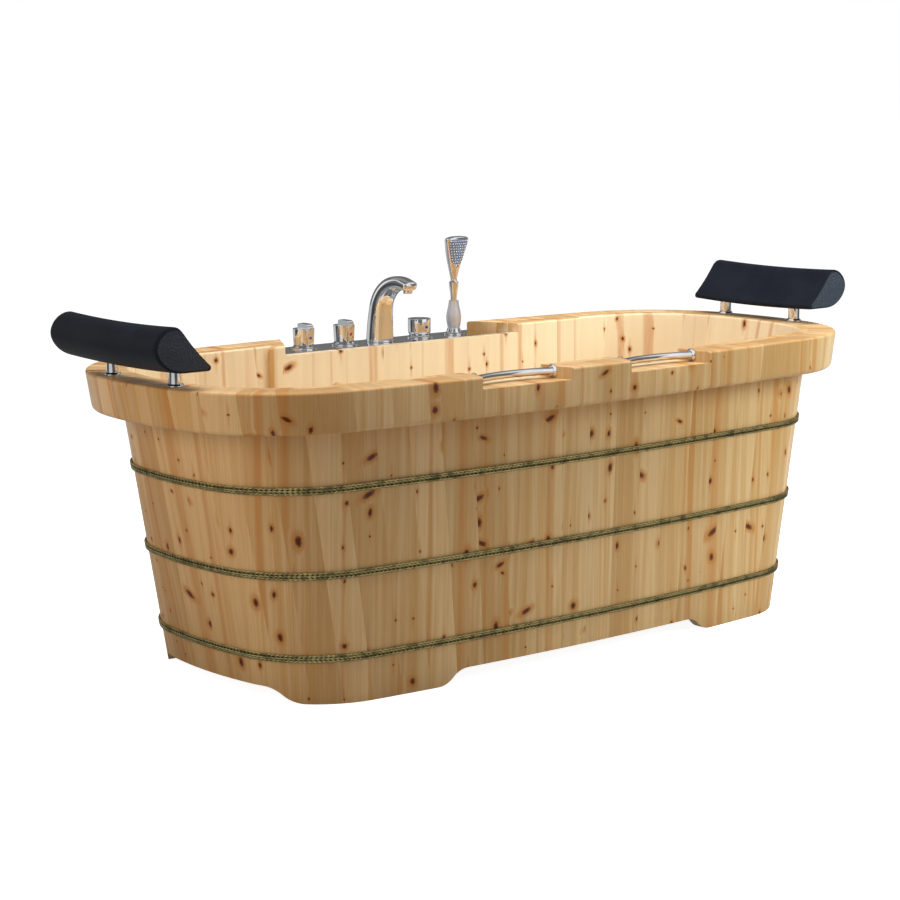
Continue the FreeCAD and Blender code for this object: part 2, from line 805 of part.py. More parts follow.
def floor():
    """Floor boards in the staves' groove, battens under them and the screws that join them."""
    bottom = number(floor_height)
    top = number(floor_level)
    edge = number(groove_depth - stave_thickness - floor_fit)
    plate = oval_solid(bottom, top, edge)
    box = plate.BoundBox
    count = int(round(number(floor_board_count)))
    width = box.YLength / count
    drain = upright_hole(ZERO, ZERO, number(waste_shank_diameter / 2 + waste_fit), bottom, top)
    batten_foot = bottom - number(batten_depth)
    inside = oval_solid(batten_foot, bottom, -number(stave_thickness + batten_end_gap))
    beam_count = int(round(number(batten_count)))
    beams = []
    screws = []
    for index in range(beam_count):
        x = (index - (beam_count - 1) / 2) * number(batten_spacing)
        corner = Vector(x - number(batten_width) / 2, box.YMin, batten_foot)
        blank = Part.makeBox(number(batten_width), box.YLength, number(batten_depth), corner)
        beams.append(blank.common(inside))
        for row in range(count):
            y = box.YMin + (row + 0.5) * width
            screw_top = bottom + number(batten_screw_bite)
            screws.append(upright_hole(x, y, number(batten_screw_diameter) / 2, batten_foot, screw_top))
    boards = []
    for row in range(count):
        corner = Vector(box.XMin, box.YMin + row * width, bottom)
        strip = Part.makeBox(box.XLength, width, top - bottom, corner).common(plate)
        boards.append(main_solid(trimmed(strip, screws + [drain])))
    solid_feature("floor_boards", boards)
    solid_feature("floor_battens", [main_solid(trimmed(beam, screws)) for beam in beams])
    solid_feature("floor_screws", screws)


def ledge():
    """Lining boards on the tap side, leaning with the wall, with a rounded left corner."""
    bottom = number(floor_level)
    top = number(rim_top)
    inside = oval_solid(bottom, top, -number(stave_thickness))
    lean = math.tan(math.radians(number(side_lean))) * (top - bottom)
    front = number(ledge_line)
    back = number(rim_width) / 2
    count = int(round(number(ledge_board_count)))
    width = number(ledge_left + ledge_right) / count
    boards = []
    for index in range(count):
        left = -number(ledge_left) + index * width
        corners = ((front - lean, bottom), (front, top), (back, top), (back, bottom))
        points = [Vector(left, y, z) for y, z in corners]
        shape = main_solid(prism(points, Vector(width, 0, 0)).common(inside))
        shape = rounded(shape, Vector(left + width / 2, front, top), rim_top_round)
        if index == 0:
            corner = Vector(left, front - lean / 2, (bottom + top) / 2)
            shape = rounded(shape, corner, ledge_return_round)
        boards.append(main_solid(trimmed(shape, wood_cutters)))
    solid_feature("ledge_boards", boards)


# Deck plate and the fittings on it


def deck_plate():
    """Plate in the lowered deck, with a hole for every fitting."""
    body = doc.addObject("PartDesign::Body", "deck_plate")
    sketch = new_sketch(body, "deck_plate_plan", "XY_Plane")
    front = ledge_line + plate_margin + rim_top_round
    back = front + plate_depth
    front_half = deck_front_length / 2 - (front - ledge_line) * deck_slope - plate_margin
    back_half = deck_front_length / 2 - (back - ledge_line) * deck_slope - plate_margin
    polygon(sketch, ((-front_half, front), (front_half, front), (back_half, back), (-back_half, back)))
    for axis in tap_axes:
        circle(sketch, axis - deck_offset, tap_line, shank_diameter / 2 + shank_fit)
    pad = body.newObject("PartDesign::Pad", "deck_plate_pad")
    pad.Profile = sketch
    bind(pad, "Length", plate_thickness)
    place(body, deck_offset, ZERO, deck_level)
    keep("deck_plate", body)


def back_feature(body, name, kind, radius, level, reach):
    """Round pad or pocket from a body's upright axis towards the back."""
    sketch = new_sketch(body, name + "_circle", "XZ_Plane")
    circle(sketch, ZERO, level, radius)
    feature = body.newObject(kind, name)
    feature.Profile = sketch
    feature.Reversed = kind == "PartDesign::Pad"
    bind(feature, "Length", reach)


def valve_body(label, x):
    """Valve body: neck above the plate, shank through the rim, male inlet turned to the back."""
    bore = spindle_diameter / 2 + spindle_fit
    shank = shank_diameter / 2
    neck = valve_neck_diameter / 2
    inlet = inlet_diameter / 2
    foot = rim_under - valve_drop
    spindle_foot = plate_level - spindle_reach - spindle_end_gap
    profile = (
        (ZERO, foot),
        (shank, foot),
        (shank, plate_level),
        (neck, plate_level),
        (neck, plate_level + valve_neck_height),
        (bore, plate_level + valve_neck_height),
        (bore, spindle_foot),
        (ZERO, spindle_foot),
    )
    body = turned(label, profile, x, tap_line)
    level = foot + inlet_rise
    seat = shank + inlet_stand
    reach = seat + inlet_length
    back_feature(body, label + "_shoulder", "PartDesign::Pad", inlet + inlet_shoulder, level, seat)
    back_feature(body, label + "_inlet", "PartDesign::Pad", inlet, level, reach)
    back_feature(body, label + "_way", "PartDesign::Pocket", inlet_bore / 2, level, reach)


def spindle(label, x):
    """Turning spindle of a valve."""
    length = spindle_reach + spindle_rise
    keep(label, cylinder(label, spindle_diameter / 2, length, x, tap_line, plate_level - spindle_reach))


def tap_flange(label, x):
    """Stepped flange on the deck plate round a valve's neck."""
    bore = valve_neck_diameter / 2 + shank_fit
    rim = flange_diameter / 2
    hub = flange_hub_diameter / 2
    profile = (
        (bore, ZERO),
        (rim, ZERO),
        (rim, flange_lip),
        (hub, flange_lip),
        (hub, flange_height),
        (bore, flange_height),
    )
    turned(label, profile, x, tap_line, plate_level)


def barrel_profile(foot_radius, top_radius, height, bevel):
    """Half section of a handle barrel that is hollow over the valve neck and bored for the spindle."""
    cavity = valve_neck_diameter / 2 + handle_room
    cavity_top = plate_level + valve_neck_height + handle_room - handle_foot
    bore = spindle_diameter / 2
    bore_top = plate_level + spindle_rise - handle_foot
    return (
        (ZERO, bore_top),
        (ZERO, height),
        (top_radius - bevel, height),
        (top_radius, height - bevel),
        (foot_radius, bevel),
        (foot_radius - bevel, ZERO),
        (cavity, ZERO),
        (cavity, cavity_top),
        (bore, cavity_top),
        (bore, bore_top),
    )


def tap_handle(name, x):
    """Tap handle: barrel, lever on top with a downturned end, and a colour dot on that end."""
    label = name + "_handle"
    foot_radius = handle_foot_diameter / 2
    top_radius = handle_diameter / 2
    edge = handle_room
    turned(label, barrel_profile(foot_radius, top_radius, handle_height, edge), x, tap_line, handle_foot)
    half = lever_width / 2
    nose = -(top_radius + lever_overhang)
    heel = nose + lever_length
    lever = ((-half, nose), (half, nose), (half, heel), (-half, heel))
    add_block(nodes[label], label + "_lever", lever, handle_height - edge, lever_height + edge)
    inner = nose + lever_tongue
    tongue = ((-half, nose), (half, nose), (half, inner), (-half, inner))
    add_block(nodes[label], label + "_tongue", tongue, edge, handle_height)
    colour_dot(name + "_dot", x, tap_line + nose, handle_foot + dot_height)


def colour_dot(label, x, y, z):
    """Round dot standing on a face that looks towards the front."""
    forward = Rotation(Vector(1, 0, 0), 90)
    keep(label, cylinder(label, dot_diameter / 2, dot_thickness, x, y, z, forward))


def diverter_knob():
    """Round diverter knob with a flat for its dot."""
    radius = knob_diameter / 2
    profile = barrel_profile(radius, radius, knob_height, knob_edge)
    turned("diverter_knob", profile, diverter_offset, tap_line, handle_foot)
    half = dot_diameter / 2 + dot_thickness
    front = -radius - dot_thickness
    heel = -half * 2
    flat = ((-half, front), (half, front), (half, heel), (-half, heel))
    add_block(nodes["diverter_knob"], "diverter_pad", flat, dot_height - half, half * 2)
    colour_dot("diverter_dot", diverter_offset, tap_line + front, handle_foot + dot_height)


def clamp_rings():
    """Washer and back nut of each deck fitting under the rim."""
    washers = []
    nuts = []
    shank = shank_diameter / 2
    outside = washer_diameter / 2
    level = rim_under - washer_thickness
    for index, x in enumerate(tap_axes):
        spot = (x, tap_line, level)
        washers.append(ring("washer_%d" % index, outside, shank, washer_thickness, *spot))
        nuts.append(hex_nut("nut_%d" % index, nut_across, shank, nut_height, x, tap_line, nut_level))
    group("deck_washers", washers)
    group("deck_nuts", nuts)


def mixing_pipes():
    """Pipes under the rim: cold to hot, hot to diverter, and diverter back to the spout."""
    shank = number(shank_diameter) / 2
    outer = number(pipe_diameter) / 2
    inner = outer - number(pipe_wall)
    low = number(rim_under - mix_pipe_drop)
    high = number(rim_under - spout_pipe_drop)
    runs = ((cold_x, hot_x, low), (hot_x, diverter_offset, low), (spout_x, diverter_offset, high))
    shapes = []
    for start, end, level in runs:
        x, y = number(start), number(tap_line)
        length = number(end) - x
        pipe = level_hole(x, y, level, outer, length).cut(level_hole(x, y, level, inner, length))
        ends = [upright_hole(axis, y, shank, level - OVERCUT, level + OVERCUT) for axis in (start, end)]
        shapes.append(main_solid(pipe.cut(ends)))
    solid_feature("mixing_pipes", shapes)


# Spout


def spout_stations():
    """Centre, slope and half sizes of the spout's sections from foot to beak."""
    column = number(spout_column)
    bend = number(spout_bend)
    beak = number(spout_beak)
    turn = math.radians(90 + number(spout_dip))
    total = column + bend * turn + beak
    base = number(spout_base_diameter) / 2
    tip_wide = number(spout_tip_width) / 2
    tip_deep = number(spout_tip_depth) / 2
    bend_steps = 5
    path = [(0.0, 0.0, 0.0, 0.0), (column / 2, 0.0, column / 2, 0.0)]
    for step in range(bend_steps + 1):
        angle = turn * step / bend_steps
        forward = bend * (1 - math.cos(angle))
        path.append((column + bend * angle, forward, column + bend * math.sin(angle), angle))
    last = path[-1]
    end_forward = last[1] + beak * math.sin(turn)
    path.append((total, end_forward, last[2] + beak * math.cos(turn), turn))
    for distance, forward, height, angle in path:
        share = distance / total
        yield forward, height, angle, base + (tip_wide - base) * share, base + (tip_deep - base) * share


def round_wire(centre, across, up, wide, deep):
    """Closed oval line of four spline spans, starting at the same side on every section."""
    kappa = 4 / 3 * (math.sqrt(2) - 1)
    edges = []
    axes = (across * wide, up * deep, across * -wide, up * -deep)
    for index in range(4):
        start = axes[index]
        end = axes[(index + 1) % 4]
        curve = Part.BezierCurve()
        poles = (start, start + end * kappa, end + start * kappa, end)
        curve.setPoles([centre + pole for pole in poles])
        edges.append(curve.toShape())
    return Part.Wire(edges)


def spout():
    """Spout with its shank, and the outlet piece under its beak."""
    origin = Vector(number(spout_x), number(tap_line), number(plate_level))
    wires = []
    for forward, height, angle, wide, deep in spout_stations():
        centre = origin + Vector(0, -forward, height)
        up = Vector(0, math.cos(angle), math.sin(angle))
        wires.append(round_wire(centre, Vector(1, 0, 0), up, wide, deep))
        tip = (forward, height, angle)
    column = Part.makeLoft(wires, True, False)
    foot = number(rim_under - shank_drop)
    shank = upright_hole(spout_x, tap_line, number(shank_diameter) / 2, foot, number(plate_level))
    forward, height, angle = tip
    back = number(aerator_setback)
    y = origin.y - forward + back * math.sin(angle)
    level = origin.z + height - back * math.cos(angle) - number(aerator_height)
    radius = number(aerator_diameter) / 2
    outlet = upright_hole(spout_x, y, radius, level, level + number(aerator_height))
    bore = upright_hole(spout_x, y, number(aerator_bore) / 2, level, level + number(aerator_height) / 2)
    solid_feature("spout", [main_solid(column.fuse(shank).cut(outlet))])
    solid_feature("spout_aerator", [outlet.cut(bore)])


# Hand shower


def hand_shower():
    """Cradle on the deck, and the hand shower that lifts out of it."""
    bore = connector_diameter / 2 + connector_fit
    shank = shank_diameter / 2
    drop = rim_under - shank_drop - plate_level
    cradle = (
        (bore, drop),
        (shank, drop),
        (shank, ZERO),
        (holder_diameter / 2, ZERO),
        (holder_diameter / 2, holder_lip),
        (holder_cup_diameter / 2, holder_lip),
        (holder_cup_diameter / 2, holder_cup_height),
        (bore, holder_cup_height),
    )
    turned("shower_cradle", cradle, shower_offset, tap_line, plate_level)
    foot = plate_level + holder_cup_height + handle_gap
    spot = (shower_offset, tap_line, foot - connector_length)
    connector = cylinder("hose_connector", connector_diameter / 2, connector_length, *spot)
    keep("hose_connector", connector)
    grip = (
        (ZERO, ZERO),
        (grip_foot_diameter / 2, ZERO),
        (grip_diameter / 2 - handle_room, grip_height / 3),
        (grip_diameter / 2, grip_height / 2),
        (grip_diameter / 2 - handle_room, grip_height * 2 / 3),
        (grip_neck_diameter / 2, grip_height),
        (ZERO, grip_height),
    )
    turned("shower_grip", grip, shower_offset, tap_line, foot)
    shower_head(number(foot + grip_height))


def shower_head(level):
    """Paddle-shaped head on a narrow waist, with a nozzle face let into its front."""
    origin = Vector(number(shower_offset), number(tap_line), level)
    neck = number(grip_neck_diameter) / 2
    waist = number(head_waist) / 2
    wide = number(head_width) / 2
    deep = number(head_depth) / 2
    rise = number(head_waist_rise)
    widest = rise + number(head_shoulder)
    crown = number(head_length - head_shoulder)
    stations = [
        (0.0, neck, neck),
        (rise / 2, (neck + waist) / 2, (neck + waist) / 2),
        (rise, waist, waist),
        ((rise + widest) / 2, (waist + wide) / 2, (waist + deep) / 2),
    ]
    for turn in (math.radians(angle) for angle in HEAD_CROWN_ANGLES):
        shrink = math.cos(turn)
        stations.append((widest + crown * math.sin(turn), wide * shrink, deep * shrink))
    wires = []
    for height, half_wide, half_deep in stations:
        centre = origin + Vector(0, 0, height)
        wires.append(round_wire(centre, Vector(1, 0, 0), Vector(0, 1, 0), half_wide, half_deep))
    head = Part.makeLoft(wires, True, False)
    middle = origin + Vector(0, -deep, rise + number(face_rise))
    half_face = (number(face_width) / 2, number(face_length) / 2)
    outline = round_wire(middle, Vector(1, 0, 0), Vector(0, 0, 1), *half_face)
    plate = Part.Face(outline).extrude(Vector(0, number(face_thickness), 0))
    solid_feature("shower_head", [main_solid(head.cut(plate))])
    solid_feature("shower_face", [plate])


# Grab rails


def grab_rails():
    """Bowed rails in the rim's notches, with their flanges and screws."""
    flanges = []
    radius = number(rail_diameter) / 2
    thick = number(rail_flange_thickness)
    for label, centre in zip(("left_grab_rail", "right_grab_rail"), rail_centres):
        half = number(notch_half) - thick
        middle = Vector(number(centre), number(rail_line), number(rail_level))
        reach = half + number(rail_bow)
        sag = number(rail_bow) * (reach / half) ** 2
        ends = [middle + Vector(side * reach, number(rail_bow) - sag, 0) for side in (-1, 1)]
        path = Part.Wire([Part.Arc(ends[0], middle + Vector(0, number(rail_bow), 0), ends[1]).toShape()])
        start = path.Edges[0].tangentAt(path.Edges[0].FirstParameter)
        bar = path.makePipeShell([Part.Wire([Part.Circle(ends[0], start, radius).toShape()])], True, False)
        corner = middle - Vector(half, number(rim_width), number(rim_top))
        gap = Part.makeBox(half * 2, number(rim_width) * 2, number(rim_top) * 2, corner)
        solid_feature(label, [main_solid(bar.common(gap).cut(rail_screws))])
        for side in (-1, 1):
            face = middle + Vector(side * half, 0, 0)
            disc = level_hole(face.x, face.y, face.z, number(rail_flange_diameter) / 2, side * thick)
            flanges.append(disc.cut(rail_screws))
    solid_feature("rail_flanges", flanges)
    solid_feature("rail_screws", rail_screws)


# Headrests


def headrest_section(sign, y):
    """Section of a cushion across its length: a teardrop with its hollow face towards the tub."""
    rise = (2 * y / number(headrest_length)) ** 2
    base = number(rim_top + headrest_lift) + number(headrest_dip) * rise
    post = number(post_line)

    def at(out, up):
        return Vector(sign * (post + out), y, base + up)

    def bowed(start, end, bow):
        across = end[0] - start[0]
        up = end[1] - start[1]
        length = math.hypot(across, up)
        out = (start[0] + end[0]) / 2 + bow * up / length
        high = (start[1] + end[1]) / 2 - bow * across / length
        return Part.Arc(at(*start), at(out, high), at(*end)).toShape()

    nose = number(headrest_nose)
    low_face = (-number(headrest_front), nose)
    under = (low_face[0] + nose / 2, 0.0)
    belly = (number(headrest_belly), 0.0)
    back = (number(headrest_back), number(headrest_back_height))
    crest = (number(headrest_crest), number(headrest_height))
    hollow = number(headrest_end_dish) + number(headrest_dish - headrest_end_dish) * (1 - rise)
    return Part.Wire((
        Part.makeLine(at(*under), at(*belly)),
        bowed(belly, back, number(headrest_under_bow)),
        bowed(back, crest, number(headrest_back_bow)),
        bowed(crest, low_face, -hollow),
        bowed(low_face, under, number(headrest_nose_bow)),
    ))


def headrests():
    """Cushions on their posts, with the collars and studs."""
    half = number(headrest_length) / 2
    rim = number(rim_top)
    fit = number(post_fit)
    post_radius = number(post_diameter) / 2
    post_top = number(rim_top + headrest_lift + post_socket)
    sockets = []
    posts = []
    collars = []
    for x, y in post_points():
        sockets.append(upright_hole(x, y, post_radius + fit, rim, post_top + fit))
        post = upright_hole(x, y, post_radius, rim, post_top)
        posts.append(post.cut(studs))
        collar_top = rim + number(collar_height)
        collar = upright_hole(x, y, number(collar_diameter) / 2, rim, collar_top)
        collars.append(collar.cut(post))
    for label, sign in (("left_headrest", -1), ("right_headrest", 1)):
        wires = [headrest_section(sign, half * share) for share in (-1.0, -0.5, 0.0, 0.5, 1.0)]
        cushion = Part.makeLoft(wires, True, False)
        solid_feature(label, [main_solid(trimmed(cushion, sockets))])
    solid_feature("headrest_posts", posts)
    solid_feature("post_collars", collars)
    solid_feature("post_studs", studs)


# Floor waste


def floor_waste():
    """Waste in the floor with its cross-bar, seal, back nut and push plug."""
    bore = number(waste_bore_diameter) / 2
    shank = number(waste_shank_diameter) / 2
    shank_foot = number(floor_height - seal_thickness - waste_nut_height - waste_shank_end)
    foot = shank_foot - number(waste_outlet_length)
    top = number(floor_level)
    flange_top = top + number(waste_flange_thickness)
    flange = upright_hole(ZERO, ZERO, number(waste_flange_diameter) / 2, top, flange_top)
    tube = upright_hole(ZERO, ZERO, shank, shank_foot, flange_top)
    outlet = upright_hole(ZERO, ZERO, number(waste_outlet_diameter) / 2, foot, shank_foot)
    way = upright_hole(ZERO, ZERO, bore, foot, flange_top)
    shell = tube.fuse([flange, outlet]).cut(way)
    web_top = flange_top - number(web_drop)
    web_foot = web_top - number(web_depth)
    thick = number(web_thickness)
    bars = [
        Part.makeBox(bore * 2, thick, number(web_depth), Vector(-bore, -thick / 2, web_foot)),
        Part.makeBox(thick, bore * 2, number(web_depth), Vector(-thick / 2, -bore, web_foot)),
    ]
    boss = upright_hole(ZERO, ZERO, number(boss_diameter) / 2, web_foot, web_top)
    guide = upright_hole(ZERO, ZERO, number(stem_diameter / 2 + stem_fit), web_foot, web_top)
    solid_feature("waste_body", [main_solid(shell.fuse(bars + [boss]).cut(guide).removeSplitter())])
    thread = waste_shank_diameter / 2
    under_seal = (ZERO, ZERO, floor_height - seal_thickness)
    keep("waste_seal", ring("waste_seal", seal_diameter / 2, thread, seal_thickness, *under_seal))
    under_nut = (ZERO, ZERO, floor_height - seal_thickness - waste_nut_height)
    keep("waste_nut", hex_nut("waste_nut", waste_nut_across, thread, waste_nut_height, *under_nut))
    cap_foot = floor_level + waste_flange_thickness + plug_gap
    cap = (
        (ZERO, ZERO),
        (plug_diameter / 2, ZERO),
        (plug_diameter / 2, plug_thickness / 2),
        (plug_diameter / 3, plug_thickness),
        (ZERO, plug_thickness),
    )
    turned("waste_plug", cap, ZERO, ZERO, cap_foot)
    under_stem = (ZERO, ZERO, cap_foot - stem_length)
    keep("plug_stem", cylinder("plug_stem", stem_diameter / 2, stem_length, *under_stem))


def check_and_write():
    """Stop if any object failed, then write every sub-part."""
    for thing in doc.Objects:
        if "Invalid" in thing.State or "Error" in thing.State:
            raise RuntimeError("%s failed: %s" % (thing.Label, thing.State))
    for label, thing in nodes.items():
        shape = thing.Shape
        if shape.isNull() or not shape.isValid() or not shape.Solids:
            raise RuntimeError("%s has no valid solid" % label)
    os.makedirs("parts", exist_ok=True)
    for label, thing in nodes.items():
        thing.Shape.exportStep("parts/%s.step" % label)
        print("%s: %d solids, %.0f mm3" % (label, len(thing.Shape.Solids), thing.Shape.Volume))


walls()
hoop("upper_hoop", hoop_upper_level)
hoop("middle_hoop", hoop_middle_level)
hoop("lower_hoop", hoop_lower_level)
floor()
ledge()
deck_plate()
for name, axis in (("cold", cold_x), ("hot", hot_x), ("diverter", diverter_offset)):
    valve_body(name + "_valve_body", axis)
    spindle(name + "_spindle", axis)
    tap_flange(name + "_flange", axis)
tap_handle("cold", cold_x)
tap_handle("hot", hot_x)
diverter_knob()
clamp_rings()
mixing_pipes()
spout()
hand_shower()
grab_rails()
headrests()
floor_waste()
doc.recompute()
check_and_write()
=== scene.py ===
import logging
import math
import random
from dataclasses import dataclass
from enum import Enum

import bmesh
import bpy
from mathutils import Matrix, Vector


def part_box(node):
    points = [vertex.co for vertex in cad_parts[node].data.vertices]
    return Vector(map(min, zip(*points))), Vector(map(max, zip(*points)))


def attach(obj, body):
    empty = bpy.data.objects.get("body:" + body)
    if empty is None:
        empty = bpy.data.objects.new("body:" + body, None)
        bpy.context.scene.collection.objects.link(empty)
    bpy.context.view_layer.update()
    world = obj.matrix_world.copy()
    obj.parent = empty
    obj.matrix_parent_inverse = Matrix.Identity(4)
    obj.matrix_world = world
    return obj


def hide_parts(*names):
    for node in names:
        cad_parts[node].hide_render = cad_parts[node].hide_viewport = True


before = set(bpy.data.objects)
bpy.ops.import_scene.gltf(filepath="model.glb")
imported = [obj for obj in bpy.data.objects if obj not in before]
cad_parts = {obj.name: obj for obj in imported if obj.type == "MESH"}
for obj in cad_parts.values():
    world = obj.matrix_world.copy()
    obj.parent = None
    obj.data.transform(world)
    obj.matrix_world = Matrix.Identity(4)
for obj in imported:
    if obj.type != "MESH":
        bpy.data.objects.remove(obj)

log = logging.getLogger("wooden_bathtub")

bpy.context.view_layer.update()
MM = 0.001

Pair = tuple[float, float]
Triple = tuple[float, float, float]
Colour = Triple
Line = list[Pair]
Ramp = tuple[float, ...]
Ring = list[Vector]
Mesh = bpy.types.Mesh
Shape = bmesh.types.BMesh
Material = bpy.types.Material
Node = bpy.types.Node
Tree = bpy.types.NodeTree
Socket = bpy.types.NodeSocket
Place = tuple[Socket, Socket, Socket]
Value = float | Socket

WHITE: Colour = (1.0, 1.0, 1.0)


class Body(Enum):
    """Bodies of the frame that pieces ride on."""

    TUB = "tub"
    COLD = "cold_tap"
    HOT = "hot_tap"
    DIVERTER = "diverter"
    SHOWER = "hand_shower"
    PLUG = "plug"


class Grain(Enum):
    """Which way the grain of a board runs."""

    UPRIGHT = "upright"
    LENGTHWISE = "lengthwise"
    CROSSWISE = "crosswise"


class Slot(Enum):
    """Material slots of the record, by the piece's finish."""

    WOOD = "wood"
    HOOP = "hoop_brass"
    CHROME = "chrome"
    SATIN = "satin_metal"
    BRASS = "brass"
    STEEL = "steel"
    NOZZLE = "nozzle_grey"
    FOAM = "black_foam"
    SEAL = "seal_rubber"
    BLUE = "cold_blue"
    RED = "hot_red"


# Node trees

FLOAT = "NodeSocketFloat"
WHOLE = "NodeSocketInt"
VECTOR = "NodeSocketVector"
COLOUR = "NodeSocketColor"
GEOMETRY = "NodeSocketGeometry"
SHADER_TREE = "ShaderNodeTree"
GEOMETRY_TREE = "GeometryNodeTree"

# Places of the colour sockets of a mix node
MIX_INPUTS = (6, 7)
MIX_OUTPUT = 2


class NodeSheet:
    """Adds nodes to one tree, sets their sockets and links them."""

    def __init__(self, tree: Tree) -> None:
        """Keep the tree that nodes are added to."""
        self.tree = tree

    def node(self, kind: str, **settings: object) -> Node:
        """Add a node.

        Args:
            kind: The node's type name.
            settings: Properties of the node to set.

        Returns:
            The new node.
        """
        node = self.tree.nodes.new(kind)
        for name, value in settings.items():
            setattr(node, name, value)
        return node

    def put(self, socket: Socket, value: object) -> None:
        """Feed one input.

        Args:
            socket: The input.
            value: An output to link to it, or its plain value.
        """
        if isinstance(value, Socket):
            self.tree.links.new(value, socket)
        else:
            socket.default_value = value

    def feed(self, node: Node, *values: object, **named: object) -> Socket:
        """Feed a node's inputs with outputs or plain values.

        Args:
            node: The node.
            values: Values in the order of its inputs.
            named: Values by input name.

        Returns:
            The node's first output.
        """
        for socket, value in zip(node.inputs, values):
            self.put(socket, value)
        for label, value in named.items():
            self.put(node.inputs[label], value)
        return node.outputs[0]

    def math(self, operation: str, *values: Value, clamp: bool = False) -> Socket:
        """Return the result of a math node, held between 0 and 1 if it is to be clamped."""
        return self.feed(self.node("ShaderNodeMath", operation=operation, use_clamp=clamp), *values)

    def plus(self, first: Value, second: Value) -> Socket:
        """Return a sum."""
        return self.math("ADD", first, second)

    def minus(self, first: Value, second: Value) -> Socket:
        """Return a difference."""
        return self.math("SUBTRACT", first, second)

    def times(self, first: Value, second: Value) -> Socket:
        """Return a product."""
        return self.math("MULTIPLY", first, second)

    def hypot(self, first: Value, second: Value) -> Socket:
        """Return the length of two values at right angles."""
        squares = self.plus(self.math("POWER", first, 2.0), self.math("POWER", second, 2.0))
        return self.math("SQRT", squares)

    def vector(self, operation: str, *values: object) -> Socket:
        """Return the vector result of a vector math node."""
        return self.feed(self.node("ShaderNodeVectorMath", operation=operation), *values)

    def combine(self, x: Value, y: Value, z: Value = 0.0) -> Socket:
        """Return a vector made of three values."""
        return self.feed(self.node("ShaderNodeCombineXYZ"), x, y, z)

    def split(self, vector: Socket) -> Place:
        """Return the three parts of a vector."""
        x = self.feed(self.node("ShaderNodeSeparateXYZ"), vector)
        return tuple(x.node.outputs)

    def noise(self, vector: Socket, scale: Value, detail: float = 2.0, roughness: float = 0.5) -> Socket:
        """Return a noise value from 0 to 1 over a vector."""
        node = self.node("ShaderNodeTexNoise", noise_dimensions="3D")
        return self.feed(node, Vector=vector, Scale=scale, Detail=detail, Roughness=roughness)

    def line_noise(self, value: Socket, scale: float, detail: float) -> Socket:
        """Return a noise value from 0 to 1 along one number."""
        node = self.node("ShaderNodeTexNoise", noise_dimensions="1D")
        return self.feed(node, W=value, Scale=scale, Detail=detail)

    def step(self, value: Value, start: Value, end: Value, low: Value = 0.0, high: Value = 1.0) -> Socket:
        """Return a smooth step from low to high as a value goes from start to end."""
        node = self.node("ShaderNodeMapRange", interpolation_type="SMOOTHSTEP")
        return self.feed(node, value, start, end, low, high)

    def mix(self, factor: Value, first: object, second: object, blend: str = "MIX") -> Socket:
        """Mix two colours.

        Args:
            factor: Share of the second colour.
            first: A colour or an output.
            second: A colour or an output.
            blend: How they are mixed.

        Returns:
            The mixed colour.
        """
        node = self.node("ShaderNodeMix", data_type="RGBA", blend_type=blend)
        self.put(node.inputs[0], factor)
        for index, colour in zip(MIX_INPUTS, (first, second)):
            self.put(node.inputs[index], colour if isinstance(colour, Socket) else (*colour, 1.0))
        return node.outputs[MIX_OUTPUT]


def new_group(
    name: str, kind: str, inputs: dict[str, str], outputs: dict[str, str]
) -> tuple[NodeSheet, dict[str, Socket], dict[str, Socket]]:
    """Make a node group with named sockets.

    Args:
        name: The group's name.
        kind: The tree's type name.
        inputs: Socket types by input name.
        outputs: Socket types by output name.

    Returns:
        The group's sheet, its inputs' sockets and its outputs' sockets by name.
    """
    tree = bpy.data.node_groups.new(name, kind)
    for way, sockets in (("INPUT", inputs), ("OUTPUT", outputs)):
        for label, socket_type in sockets.items():
            tree.interface.new_socket(name=label, in_out=way, socket_type=socket_type)
    sheet = NodeSheet(tree)
    source, sink = sheet.node("NodeGroupInput"), sheet.node("NodeGroupOutput")
    given = {label: source.outputs[label] for label in inputs}
    wanted = {label: sink.inputs[label] for label in outputs}
    return sheet, given, wanted


def end_tree(sheet: NodeSheet, geometry: Socket, material: Material, sink: Socket) -> None:
    """End a geometry tree with plain, dressed geometry.

    Args:
        sheet: The tree's sheet.
        geometry: What the tree has made.
        material: Its finish.
        sink: The group's output.
    """
    real = sheet.feed(sheet.node("GeometryNodeRealizeInstances"), geometry)
    dressed = sheet.feed(sheet.node("GeometryNodeSetMaterial"), Geometry=real, Material=material)
    sheet.put(sink, dressed)


# Shared effects


@dataclass(frozen=True)
class GrainNoise:
    """A noise that is drawn out along the grain."""

    stretch: float
    scale: float
    detail: float
    roughness: float = 0.5

    def draw(self, sheet: NodeSheet, across: Socket, *rest: Socket) -> Socket:
        """Return the noise at a place, squeezed across the grain."""
        squeezed = sheet.combine(sheet.times(across, self.stretch), *rest)
        return sheet.noise(squeezed, self.scale, self.detail, self.roughness)


